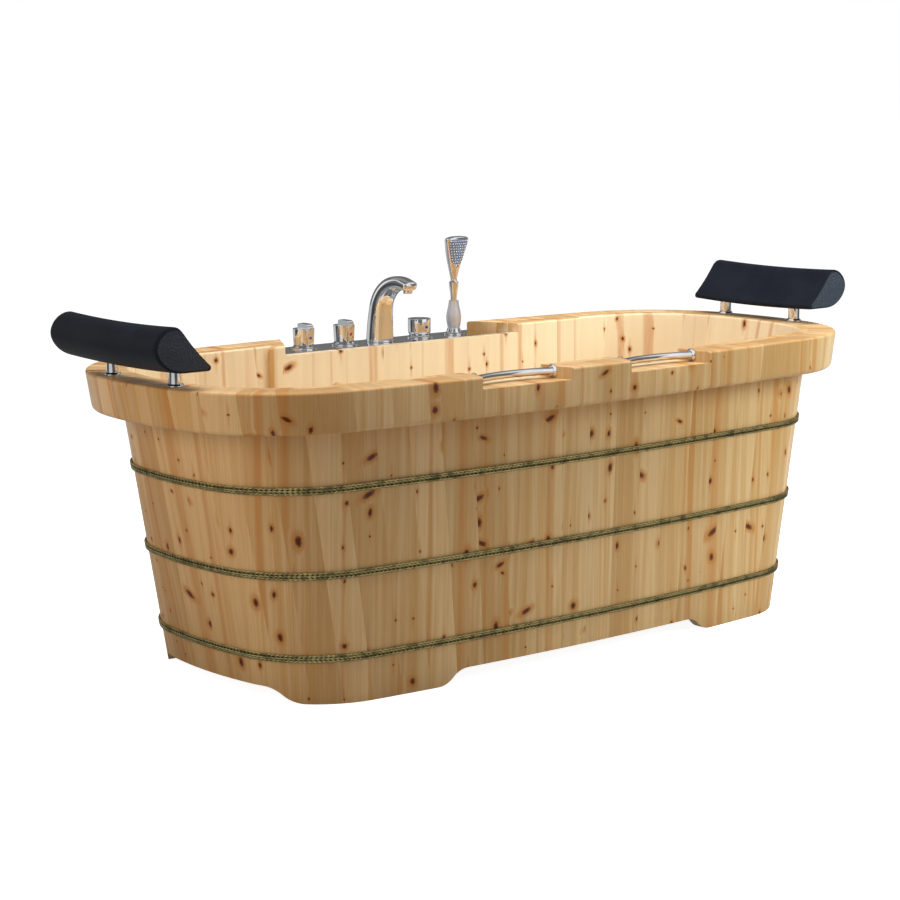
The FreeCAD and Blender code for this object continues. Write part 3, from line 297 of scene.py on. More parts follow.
@dataclass
class KnottySoftwood:
    """Knotty softwood, drawn in a board's own space: across, into and along it, in metres."""

    sway: GrainNoise = GrainNoise(6.0, 2.2, 1.0)
    sway_reach: float = 16 * MM
    streak: GrainNoise = GrainNoise(46.0, 1.25, 3.0, 0.55)
    band: GrainNoise = GrainNoise(150.0, 1.6, 2.0)
    fibre: GrainNoise = GrainNoise(60.0, 14.0, 3.0, 0.6)
    streak_pale: Ramp = (0.34, 0.66)
    band_honey: Ramp = (0.30, 0.75, 0.24, 0.0)
    fibre_shade: Ramp = (0.25, 0.8, 0.93, 1.04)
    fibre_warm: Ramp = (0.2, 0.8, 0.25, 0.68)
    fibre_dry: Ramp = (0.2, 0.8, 0.36, 0.46)
    column_scale: float = 24.0
    column_amber: Ramp = (0.55, 0.67)
    heart: float = 90 * MM
    ring_scale: float = 420.0
    ring_shade: Ramp = (0.35, 0.62, 0.95, 1.02)
    tint_shade: Ramp = (-1.0, 1.0, 0.90, 1.06)
    tint_share: float = 0.75
    # Share of painted light on inner faces: a paler colour standing for the brighter light inside the tub.
    inside_light_share: float = 0.72
    ring_share: float = 0.72
    core_gloss: float = 0.08
    core_dent: float = 0.8
    cell_wide: float = 52 * MM
    cell_tall: float = 66 * MM
    cell_random: float = 0.92
    column_knots: float = 0.38
    knot_least: float = 1.7 * MM
    knot_growth: float = 4.8 * MM
    knot_power: float = 2.4
    slash_tilt: Ramp = (0.30, 0.38)
    slash_size: Ramp = (0.42, 0.60)
    slash_reach: Ramp = (0.0, 1.0, 1.05, 0.40)
    tilt_reach: Ramp = (0.10, 0.30, 0.60, 1.0)
    core: Ramp = (0.45, 0.8)
    ring: Ramp = (0.85, 1.2)
    halo: Ramp = (1.0, 3.0, 0.75)
    bend: Ramp = (0.0, 4.5, 0.5)
    tail_fade: float = 0.5
    wobble_scale: float = 260.0
    wobble: float = 4.2 * MM
    tail_length: float = 34 * MM
    tail_margin: float = 1.2 * MM
    tail_width: float = 1.2

    def group(self) -> Tree:
        """Build the shader group.

        Returns:
            The group, with the colours of the wood and the paler painted-light colour of inner faces as its
            inputs.
        """
        sheet, given, wanted = new_group(
            "knotty_softwood", SHADER_TREE,
            {
                "Space": VECTOR, "Tint": FLOAT, "Inside": FLOAT, "Knots": FLOAT,
                "Pale": COLOUR, "Honey": COLOUR, "Amber": COLOUR, "Knot": COLOUR, "Painted_light": COLOUR,
            },
            {"Colour": COLOUR, "Roughness": FLOAT, "Height": FLOAT},
        )
        across, depth, along = sheet.split(given["Space"])
        knot = self.knots(sheet, given["Space"], given["Knots"])
        sway = self.sway.draw(sheet, across, along, depth)
        lean = sheet.times(sheet.minus(sway, 0.5), self.sway_reach)
        bent = sheet.plus(sheet.plus(across, lean), knot["bend"])
        fibre = self.fibre.draw(sheet, bent, depth, along)
        colour = self.clear_wood(sheet, given, (bent, depth, along), fibre)
        warm = sheet.times(self.amber_column(sheet, bent), sheet.step(fibre, *self.fibre_warm))
        ring = sheet.times(knot["ring"], self.ring_share)
        overlays = ((warm, "Amber"), (knot["halo"], "Amber"), (ring, "Knot"), (knot["core"], "Knot"))
        for share, tone in overlays:
            colour = sheet.mix(share, colour, given[tone])
        sheet.put(wanted["Colour"], colour)
        dry = sheet.step(fibre, *self.fibre_dry)
        sheet.put(wanted["Roughness"], sheet.minus(dry, sheet.times(knot["core"], self.core_gloss)))
        sheet.put(wanted["Height"], sheet.minus(fibre, sheet.times(knot["core"], self.core_dent)))
        return sheet.tree

    def clear_wood(self, sheet: NodeSheet, given: dict[str, Socket], place: Place, fibre: Socket) -> Socket:
        """Colour the wood between its knots.

        Args:
            sheet: The group to add to.
            given: The group's inputs.
            place: Place in the board, with its grain bent round the knots.
            fibre: The fine fibre noise.

        Returns:
            The colour, mixed towards a paler colour on inner faces: painted light standing for the brighter
            light inside the tub.
        """
        share = sheet.step(self.streak.draw(sheet, *place), *self.streak_pale)
        share = sheet.plus(share, sheet.times(given["Tint"], self.tint_share))
        colour = sheet.mix(sheet.math("MULTIPLY", share, 1.0, clamp=True), given["Honey"], given["Pale"])
        band = sheet.step(self.band.draw(sheet, *place), *self.band_honey)
        colour = sheet.mix(band, colour, given["Honey"])
        shade = sheet.times(self.growth_rings(sheet, *place[:2]), sheet.step(fibre, *self.fibre_shade))
        shade = sheet.times(shade, sheet.step(given["Tint"], *self.tint_shade))
        colour = sheet.mix(1.0, colour, sheet.combine(shade, shade, shade), "MULTIPLY")
        # Painted light: inner faces are mixed towards a paler colour that stands for the brighter light
        # inside the tub.
        return sheet.mix(sheet.times(given["Inside"], self.inside_light_share), colour, given["Painted_light"])

    def amber_column(self, sheet: NodeSheet, across: Socket) -> Socket:
        """Return how strongly an upright amber streak colours a line of the board."""
        return sheet.step(sheet.line_noise(across, self.column_scale, 2.0), *self.column_amber)

    def growth_rings(self, sheet: NodeSheet, across: Socket, depth: Socket) -> Socket:
        """Return the darkening of late-wood lines, as rings round a heart that lies off the board."""
        radius = sheet.hypot(across, sheet.plus(depth, self.heart))
        return sheet.step(sheet.line_noise(radius, self.ring_scale, 0.0), *self.ring_shade)

    def knots(self, sheet: NodeSheet, space: Socket, amount: Socket) -> dict[str, Socket]:
        """Lay one knot in each cell of a board's face.

        Args:
            sheet: The group to add to.
            space: Place in the board.
            amount: Share of the cells that hold a knot.

        Returns:
            The masks of the dark core, its ring and its amber halo, and how far the grain bends.
        """
        across, _, along = sheet.split(space)
        wobble = sheet.times(sheet.minus(sheet.noise(space, self.wobble_scale), 0.5), self.wobble)
        cells = sheet.node("ShaderNodeTexVoronoi", voronoi_dimensions="2D", feature="F1")
        column = sheet.math("DIVIDE", across, self.cell_wide)
        row = sheet.math("DIVIDE", along, self.cell_tall)
        flat = sheet.combine(column, row)
        sheet.feed(cells, Vector=flat, Scale=1.0, Randomness=self.cell_random)
        chance, slant, size = sheet.split(cells.outputs["Color"])
        knot_across, knot_along, _ = sheet.split(cells.outputs["Position"])
        knot_line = sheet.times(knot_across, self.cell_wide)
        aside = sheet.minus(across, knot_line)
        above = sheet.minus(along, sheet.times(knot_along, self.cell_tall))
        more = sheet.times(self.amber_column(sheet, knot_line), self.column_knots)
        there = sheet.math("LESS_THAN", chance, sheet.plus(amount, more))
        radius = sheet.times(sheet.math("POWER", size, self.knot_power), self.knot_growth)
        radius = sheet.times(sheet.plus(radius, self.knot_least), there)
        turn = sheet.minus(slant, 0.5)
        tilt = sheet.math("ABSOLUTE", turn)
        slashed = sheet.times(sheet.step(tilt, *self.slash_tilt), sheet.step(size, *self.slash_size))
        cosine, sine = sheet.math("COSINE", turn), sheet.math("SINE", turn)
        long_way = sheet.plus(sheet.times(aside, cosine), sheet.times(above, sine))
        short_way = sheet.minus(sheet.times(above, cosine), sheet.times(aside, sine))
        long_way = sheet.times(long_way, sheet.step(slashed, *self.slash_reach))
        short_way = sheet.times(short_way, sheet.step(tilt, *self.tilt_reach))
        distance = sheet.plus(sheet.hypot(long_way, short_way), wobble)
        width = sheet.times(sheet.plus(radius, self.tail_margin), self.tail_width)
        slim = sheet.step(sheet.math("ABSOLUTE", aside), 0.0, width, 1.0, 0.0)
        tail = sheet.step(sheet.math("ABSOLUTE", above), 0.0, self.tail_length, self.tail_fade, 0.0)
        tail = sheet.times(sheet.times(slim, tail), sheet.minus(1.0, slashed))
        near = self.fading(sheet, distance, radius, *self.bend)
        masks = {
            "core": self.fading(sheet, distance, radius, *self.core),
            "ring": self.fading(sheet, distance, radius, *self.ring),
            "halo": sheet.math("MAXIMUM", self.fading(sheet, distance, radius, *self.halo), tail),
            "bend": sheet.times(sheet.times(aside, near), -1.0),
        }
        return {label: sheet.times(mask, there) for label, mask in masks.items()}

    def fading(
        self, sheet: NodeSheet, distance: Socket, radius: Socket, start: float, end: float, high: float = 1.0
    ) -> Socket:
        """Return a mask that falls from a high value to 0 between two multiples of a knot's radius."""
        return sheet.step(distance, sheet.times(radius, start), sheet.times(radius, end), high, 0.0)


def handling_marks() -> Tree:
    """Build the group of faint smudges and flecks for metal, rubber and plastic.

    Returns:
        The shader group, which can stretch its flecks into fine scratches.
    """
    sheet, given, wanted = new_group(
        "handling_marks", SHADER_TREE,
        {"Smudge Scale": FLOAT, "Fleck Scale": FLOAT, "Stretch": VECTOR},
        {"Smudge": FLOAT, "Fleck": FLOAT},
    )
    place = sheet.node("ShaderNodeTexCoord").outputs["Object"]
    sheet.put(wanted["Smudge"], sheet.noise(place, given["Smudge Scale"], 3.0))
    stretched = sheet.vector("MULTIPLY", place, given["Stretch"])
    sheet.put(wanted["Fleck"], sheet.noise(stretched, given["Fleck Scale"], 2.0))
    return sheet.tree


class SharedEffects:
    """Shader groups that several finishes use."""

    def __init__(self) -> None:
        """Build the groups once."""
        self.softwood = KnottySoftwood().group()
        self.handling = handling_marks()


# Finishes


def new_material(name: str) -> tuple[Material, NodeSheet, Node]:
    """Begin a material.

    Args:
        name: The material's name.

    Returns:
        The new material, its sheet and its shader node.
    """
    material = bpy.data.materials.new(name)
    material.use_nodes = True
    return material, NodeSheet(material.node_tree), material.node_tree.nodes["Principled BSDF"]


class Finish:
    """What finishes share: handling marks and bump."""

    name: str
    smudge_scale: float
    fleck_scale: float
    stretch: Colour = WHITE
    relief: float
    relief_depth: float

    def marks(self, sheet: NodeSheet, effects: SharedEffects) -> tuple[Socket, Socket]:
        """Place the group of handling marks.

        Args:
            sheet: The material's sheet.
            effects: The shared groups.

        Returns:
            The smudges and the flecks.
        """
        group = sheet.node("ShaderNodeGroup", node_tree=effects.handling)
        for label in ("Smudge Scale", "Fleck Scale", "Stretch"):
            group.inputs[label].default_value = getattr(self, label.lower().replace(" ", "_"))
        return group.outputs["Smudge"], group.outputs["Fleck"]

    def bump(self, sheet: NodeSheet, shader: Node, height: Socket) -> None:
        """Feed a height to the shader's normal.

        Args:
            sheet: The material's sheet.
            shader: Its shader node.
            height: The height.
        """
        node = sheet.node("ShaderNodeBump")
        normal = sheet.feed(node, Strength=self.relief, Distance=self.relief_depth, Height=height)
        sheet.put(shader.inputs["Normal"], normal)


@dataclass(frozen=True)
class SoftwoodFinish(Finish):
    """Oiled knotty softwood, with painted light: a paler colour on the boards' inner faces."""

    name: str
    knots: float = 0.40
    pale: Colour = (0.80, 0.54, 0.27)
    honey: Colour = (0.68, 0.385, 0.145)
    amber: Colour = (0.58, 0.215, 0.04)
    knot: Colour = (0.115, 0.025, 0.008)
    # Painted light: paler colour for inner faces, standing for the brighter light inside the tub.
    painted_light: Colour = (0.98, 0.86, 0.61)
    specular: float = 0.12
    coat: float = 0.34
    coat_roughness: float = 0.12
    relief: float = 0.35
    relief_depth: float = 0.4 * MM

    def material(self, effects: SharedEffects) -> Material:
        """Make the material.

        Args:
            effects: The shared groups.

        Returns:
            The material, which reads each board's own space, tint and inner side, where a paler colour is
            painted light.
        """
        material, sheet, shader = new_material(self.name)
        group = sheet.node("ShaderNodeGroup", node_tree=effects.softwood)
        # board_inside marks inner faces, which take the painted-light colour.
        for label, output in (("Space", "Vector"), ("Tint", "Fac"), ("Inside", "Fac")):
            source = sheet.node("ShaderNodeAttribute", attribute_name="board_" + label.lower())
            sheet.put(group.inputs[label], source.outputs[output])
        group.inputs["Knots"].default_value = self.knots
        for label in ("Pale", "Honey", "Amber", "Knot", "Painted_light"):
            group.inputs[label].default_value = (*getattr(self, label.lower()), 1.0)
        sheet.feed(shader, **{
            "Base Color": group.outputs["Colour"], "Roughness": group.outputs["Roughness"],
            "Specular IOR Level": self.specular, "Coat Weight": self.coat,
            "Coat Roughness": self.coat_roughness,
        })
        self.bump(sheet, shader, group.outputs["Height"])
        return material


@dataclass(frozen=True)
class MetalFinish(Finish):
    """Polished, satin or aged metal with faint handling marks."""

    name: str
    bright: Colour
    dull: Colour
    smooth: float
    rough: float
    smudge_scale: float = 24.0
    fleck_scale: float = 700.0
    stretch: Colour = WHITE
    relief: float = 0.02
    relief_depth: float = 0.3 * MM
    haze: Ramp = (0.42, 0.72)
    haze_wear: float = 0.6
    fleck_wear: float = 0.4
    wear: Ramp = (0.1, 0.8)

    def material(self, effects: SharedEffects) -> Material:
        """Make the material.

        Args:
            effects: The shared groups.

        Returns:
            The material; smudges dull it and flecks roughen it.
        """
        material, sheet, shader = new_material(self.name)
        smudge, fleck = self.marks(sheet, effects)
        shader.inputs["Metallic"].default_value = 1.0
        haze = sheet.step(smudge, *self.haze)
        worn = sheet.plus(sheet.times(haze, self.haze_wear), sheet.times(fleck, self.fleck_wear))
        sheet.put(shader.inputs["Base Color"], sheet.mix(haze, self.bright, self.dull))
        sheet.put(shader.inputs["Roughness"], sheet.step(worn, *self.wear, self.smooth, self.rough))
        self.bump(sheet, shader, fleck)
        return material


@dataclass(frozen=True)
class MouldedFinish(Finish):
    """Moulded rubber, foam skin or plastic."""

    name: str
    light: Colour
    dark: Colour
    smooth: float
    rough: float
    smudge_scale: float = 14.0
    fleck_scale: float = 900.0
    relief: float = 0.15
    relief_depth: float = 0.8 * MM
    haze: Ramp = (0.35, 0.7)
    wear: Ramp = (0.2, 0.8)
    specular: float = 0.5
    pebbled: bool = False
    pebble_tone: Colour = (0.044, 0.053, 0.070)
    pebble_scale: float = 290.0
    pebble_depth: float = 3.2
    fleck_depth: float = 0.12

    def material(self, effects: SharedEffects) -> Material:
        """Make the material.

        Args:
            effects: The shared groups.

        Returns:
            The material; a pebbled one has leather grain where the piece says so.
        """
        material, sheet, shader = new_material(self.name)
        smudge, height = self.marks(sheet, effects)
        tone = sheet.mix(sheet.step(smudge, *self.haze), self.dark, self.light)
        sheet.put(shader.inputs["Roughness"], sheet.step(height, *self.wear, self.smooth, self.rough))
        shader.inputs["Specular IOR Level"].default_value = self.specular
        if self.pebbled:
            share = sheet.node("ShaderNodeAttribute", attribute_name="pebble").outputs["Fac"]
            place = sheet.node("ShaderNodeTexCoord").outputs["Object"]
            cells = sheet.node("ShaderNodeTexVoronoi", feature="SMOOTH_F1")
            pebbles = sheet.times(sheet.feed(cells, Vector=place, Scale=self.pebble_scale), share)
            grain = sheet.times(pebbles, -self.pebble_depth)
            height = sheet.plus(sheet.times(height, self.fleck_depth), grain)
            tone = sheet.mix(share, tone, self.pebble_tone)
        sheet.put(shader.inputs["Base Color"], tone)
        self.bump(sheet, shader, height)
        return material


SCRATCHED_UPRIGHT: Colour = (1.0, 1.0, 0.05)

FINISHES: dict[Slot, Finish] = {
    Slot.WOOD: SoftwoodFinish("oiled_knotty_softwood"),
    Slot.HOOP: MetalFinish(
        "antique_brass_wire", (0.46, 0.389, 0.175), (0.20, 0.169, 0.077), 0.18, 0.34, 60.0, 900.0,
        relief=0.12),
    Slot.CHROME: MetalFinish("polished_chrome", (0.80, 0.81, 0.83), (0.74, 0.75, 0.77), 0.03, 0.09),
    Slot.SATIN: MetalFinish(
        "satin_chrome", (0.88, 0.89, 0.92), (0.81, 0.82, 0.85), 0.54, 0.62, 40.0, 900.0,
        SCRATCHED_UPRIGHT, 0.05),
    Slot.BRASS: MetalFinish(
        "machined_brass", (0.72, 0.53, 0.24), (0.50, 0.36, 0.15), 0.20, 0.38, 60.0, 800.0),
    Slot.STEEL: MetalFinish("plain_steel", (0.58, 0.58, 0.59), (0.42, 0.42, 0.43), 0.26, 0.42, 60.0, 900.0),
    Slot.NOZZLE: MouldedFinish("nozzle_face_grey", (0.21, 0.29, 0.46), (0.17, 0.24, 0.40), 0.34, 0.46),
    Slot.FOAM: MouldedFinish(
        "moulded_foam_skin", (0.010, 0.013, 0.022), (0.007, 0.009, 0.015), 0.42, 0.56, relief=0.9,
        specular=0.16, pebbled=True),
    Slot.SEAL: MouldedFinish("seal_rubber_black", (0.035, 0.035, 0.036), (0.022, 0.022, 0.023), 0.55, 0.7),
    Slot.BLUE: MouldedFinish("cold_blue_enamel", (0.02, 0.07, 0.50), (0.012, 0.045, 0.38), 0.12, 0.2),
    Slot.RED: MouldedFinish("hot_red_enamel", (0.55, 0.02, 0.025), (0.42, 0.012, 0.015), 0.12, 0.2),
}
NOZZLE_TIPS = MouldedFinish("nozzle_tip_silicone", (0.92, 0.95, 0.98), (0.86, 0.90, 0.94), 0.32, 0.46)


def show(obj: bpy.types.Object) -> None:
    """Put an object in the scene."""
    bpy.context.scene.collection.objects.link(obj)


class Dresser:
    """Hands out each finish's material and registers pieces with the frame."""

    def __init__(self, effects: SharedEffects) -> None:
        """Build a material for every slot."""
        self.materials = {slot: finish.material(effects) for slot, finish in FINISHES.items()}
        self.tip_material = NOZZLE_TIPS.material(effects)

    def node(self, name: str, slot: Slot) -> None:
        """Give a frame node its finish and leave its shape alone.

        Args:
            name: The node's name.
            slot: Its finish.
        """
        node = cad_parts[name]
        node.data.materials.clear()
        node.data.materials.append(self.materials[slot])
        log.info("node %s: %s", name, slot.value)

    def piece(self, name: str, mesh: Mesh, slot: Slot, body: Body, *replaced: str) -> bpy.types.Object:
        """Add a finished mesh as a piece.

        Args:
            name: The piece's name.
            mesh: Its mesh, with its place in it.
            slot: Its finish.
            body: The body that it rides on.
            replaced: Frame nodes that it stands for.

        Returns:
            The new object.
        """
        if not mesh.materials:
            mesh.materials.append(self.materials[slot])
        piece = bpy.data.objects.new(name, mesh)
        show(piece)
        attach(piece, body.value)
        if replaced:
            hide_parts(*replaced)
        log.info("piece %s: %d faces, on %s", name, len(mesh.polygons), body.value)
        return piece


# Mesh helpers

SHARP_EDGE = 32.0
TINY = 1e-6
MERGE = 1e-7
GRID = 1e5
CORNER_SHARE = 0.48


def smoothed(mesh: Mesh, sharp: float = SHARP_EDGE) -> Mesh:
    """Shade a mesh smooth but for its sharp edges.

    Args:
        mesh: The mesh.
        sharp: Angle in degrees past which an edge stays sharp.

    Returns:
        The same mesh.
    """
    mesh.shade_smooth()
    mesh.set_sharp_from_angle(angle=math.radians(sharp))
    return mesh


def finish_mesh(bm: Shape, name: str, sharp: float = SHARP_EDGE) -> Mesh:
    """Turn a built shape into a smooth mesh with its faces outwards.

    Args:
        bm: The shape; it is freed.
        name: The mesh's name.
        sharp: Angle in degrees past which an edge stays sharp.

    Returns:
        The new mesh.
    """
    bmesh.ops.recalc_face_normals(bm, faces=bm.faces)
    mesh = bpy.data.meshes.new(name)
    bm.to_mesh(mesh)
    bm.free()
    return smoothed(mesh, sharp)


def settled(obj: bpy.types.Object, name: str) -> Mesh:
    """Work an object's modifiers into its mesh and delete the object.

    Args:
        obj: The object.
        name: Name of the result.

    Returns:
        The plain mesh.
    """
    bpy.context.view_layer.update()
    graph = bpy.context.evaluated_depsgraph_get()
    mesh = bpy.data.meshes.new_from_object(obj.evaluated_get(graph))
    mesh.name = name
    bpy.data.objects.remove(obj)
    return mesh


def work_object(name: str, mesh: Mesh) -> bpy.types.Object:
    """Show a mesh that is still being made.

    Args:
        name: Name of the piece that it is for.
        mesh: The mesh.

    Returns:
        A new object in the scene.
    """
    obj = bpy.data.objects.new(name + "_work", mesh)
    show(obj)
    return obj


def noded(mesh: Mesh, name: str, tree: Tree, values: dict[str, float]) -> Mesh:
    """Run a geometry tree on a mesh.

    Args:
        mesh: What the tree starts from.
        name: Name of the result.
        tree: The geometry tree.
        values: Its inputs by name.

    Returns:
        The result as a plain mesh.
    """
    work = work_object(name, mesh)
    modifier = work.modifiers.new("nodes", "NODES")
    modifier.node_group = tree
    for item in tree.interface.items_tree:
        if item.in_out == "INPUT" and item.name in values:
            modifier[item.identifier] = values[item.name]
    return settled(work, name)


def union(name: str, first: Mesh, second: Mesh) -> Mesh:
    """Join two meshes that reach into each other.

    Args:
        name: Name of the result.
        first: One closed mesh.
        second: The other one.

    Returns:
        One closed mesh.
    """
    work, tool = work_object(name, first), work_object(name + "_tool", second)
    joint = work.modifiers.new("union", "BOOLEAN")
    joint.operation = "UNION"
    joint.solver = "EXACT"
    joint.use_self = True
    joint.object = tool
    mesh = settled(work, name)
    bpy.data.objects.remove(tool)
    return smoothed(mesh)


def skin(bm: Shape, rings: list[Ring]) -> list[list[bmesh.types.BMVert]]:
    """Add a skin through rings of points, with both ends capped.

    Args:
        bm: The shape to add to.
        rings: Rings with the same number of points each.

    Returns:
        The new points, ring by ring.
    """
    rows = [[bm.verts.new(point) for point in ring] for ring in rings]
    count = len(rows[0])
    for lower, upper in zip(rows, rows[1:]):
        for index in range(count):
            after = (index + 1) % count
            bm.faces.new((lower[index], lower[after], upper[after], upper[index]))
    bm.faces.new(list(reversed(rows[0])))
    bm.faces.new(rows[-1])
    return rows


def rounded_line(points: Line, radius: float | list[float], steps: int = 4) -> Line:
    """Round the inner corners of an open line.

    Args:
        points: Corners of the line.
        radius: Rounding radius of all corners or of each one, cut short where a run is too short for it.
        steps: Points along each rounding.

    Returns:
        The rounded line's points.
    """
    line = [points[0]]
    radii = radius if isinstance(radius, list) else [radius] * len(points)
    for before, corner, after, round_off in zip(points, points[1:], points[2:], radii[1:]):
        here = Vector(corner)
        back, on = Vector(before) - here, Vector(after) - here
        half = back.angle(on) / 2
        reach = min(round_off / math.tan(half), CORNER_SHARE * back.length, CORNER_SHARE * on.length)
        start, end = here + back.normalized() * reach, here + on.normalized() * reach
        for step in range(steps + 1):
            share = step / steps
            bent = start.lerp(here, share).lerp(here.lerp(end, share), share)
            line.append((bent.x, bent.y))
    line.append(points[-1])
    return line


def lathe(bm: Shape, line: Line, place: Matrix, sides: int = 64) -> None:
    """Turn a line of (radius, height) points about an axis.

    Args:
        bm: The shape to add to.
        line: Half section that starts and ends on the axis or closes on itself.
        place: Where the axis stands.
        sides: Faces round the axis.
    """
    rows = []
    for radius, height in line:
        if radius < TINY:
            rows.append([bm.verts.new(place @ Vector((0.0, 0.0, height)))])
            continue
        turns = [math.tau * side / sides for side in range(sides)]
        ring = [Vector((radius * math.cos(turn), radius * math.sin(turn), height)) for turn in turns]
        rows.append([bm.verts.new(place @ point) for point in ring])
    for lower, upper in zip(rows, rows[1:]):
        for side in range(sides):
            after = (side + 1) % sides
            corners = [lower[side % len(lower)], lower[after % len(lower)]]
            corners += [upper[after % len(upper)], upper[side % len(upper)]]
            unique = list(dict.fromkeys(corners))
            if len(unique) > 2:
                bm.faces.new(unique)
    if len(rows[0]) > 1 and line[0] == line[-1]:
        bmesh.ops.remove_doubles(bm, verts=rows[0] + rows[-1], dist=MERGE)


def turned(name: str, line: Line, place: Matrix, sides: int = 64) -> Mesh:
    """Turn a line into a mesh of its own.

    Args:
        name: The mesh's name.
        line: Half section, as for the lathe.
        place: Where the axis stands.
        sides: Faces round the axis.

    Returns:
        The new mesh.
    """
    bm = bmesh.new()
    lathe(bm, line, place, sides)
    return finish_mesh(bm, name)


def closed_solids(mesh: Mesh) -> list[Shape]:
    """Split a frame node's loose triangles into its closed solids.

    Args:
        mesh: The node's mesh, whose solids follow one another.

    Returns:
        One merged shape for each solid.
    """
    keys = [tuple(round(part * GRID) for part in vertex.co) for vertex in mesh.vertices]
    solids: list[Shape] = []
    open_edges: set = set()
    batch: list[tuple] = []
    for polygon in mesh.polygons:
        corners = [keys[index] for index in polygon.vertices]
        if len(set(corners)) < 3:
            continue
        batch.append(tuple(corners))
        for start, end in zip(corners, corners[1:] + corners[:1]):
            if (end, start) in open_edges:
                open_edges.remove((end, start))
            else:
                open_edges.add((start, end))
        if not open_edges:
            solids.append(from_corners(batch))
            batch = []
    if batch:
        solids.append(from_corners(batch))
    return solids


def from_corners(faces: list[tuple]) -> Shape:
    """Make a shape of triangles.

    Args:
        faces: Each triangle's corners, as places on the fine grid.

    Returns:
        The merged shape.
    """
    bm = bmesh.new()
    points: dict = {}
    for corners in faces:
        for corner in corners:
            if corner not in points:
                points[corner] = bm.verts.new(Vector(corner) / GRID)
        bm.faces.new([points[corner] for corner in corners])
    return bm


def seat(node: str) -> Vector:
    """Return the middle of a node's foot."""
    low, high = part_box(node)
    return Vector(((low.x + high.x) / 2, (low.y + high.y) / 2, low.z))


def forwards(place: Vector) -> Matrix:
    """Return the matrix that stands a turned shape at a point with its axis towards the bather."""
    return Matrix.Translation(place) @ Matrix.Rotation(math.pi / 2, 4, "X")


def eased(share: float) -> float:
    """Return a smooth step of a share from 0 to 1."""
    held = min(1.0, max(0.0, share))
    return held * held * (3 - 2 * held)


def power_ring(wide: float, deep: float, power: float, sides: int) -> Line:
    """Draw a rounded-square ring.

    Args:
        wide: Half its width.
        deep: Half its depth.
        power: 2 for an ellipse, more for squarer corners.
        sides: Number of points.

    Returns:
        Points across and deep, starting on the right.
    """
    ring = []
    for side in range(sides):
        turn = math.tau * side / sides
        across, back = math.cos(turn), math.sin(turn)
        ring.append((
            wide * math.copysign(abs(across) ** (2 / power), across),
            deep * math.copysign(abs(back) ** (2 / power), back),
        ))
    return ring


def bowed(start: Pair, end: Pair, bow: float, steps: int) -> Line:
    """Draw a round arc between two points.

    Args:
        start: First point.
        end: Last point.
        bow: Height of the arc over its chord, to the right of the way from start to end.
        steps: Number of points, without the last one.

    Returns:
        The arc's points.
    """
    across, up = end[0] - start[0], end[1] - start[1]
    chord = math.hypot(across, up)
    if abs(bow) < TINY:
        return [(start[0] + across * step / steps, start[1] + up * step / steps) for step in range(steps)]
    half = 2 * math.atan(2 * bow / chord)
    radius = chord / (2 * math.sin(half))
    points = []
    for step in range(steps):
        turn = half * (2 * step / steps - 1)
        run = 0.5 + radius * math.sin(turn) / chord
        lift = radius * (math.cos(turn) - math.cos(half)) / chord
        points.append((start[0] + across * run + up * lift, start[1] + up * run - across * lift))
    return points


# Sub-assemblies


@dataclass
class Assembly:
    """What all sub-assemblies share: the dresser that takes their pieces."""

    dresser: Dresser

    def turn(
        self, name: str, line: Line, place: Matrix, body: Body, *replaced: str, sides: int = 64
    ) -> None:
        """Turn a line into a chrome piece."""
        self.dresser.piece(name, turned(name, line, place, sides), Slot.CHROME, body, *replaced)


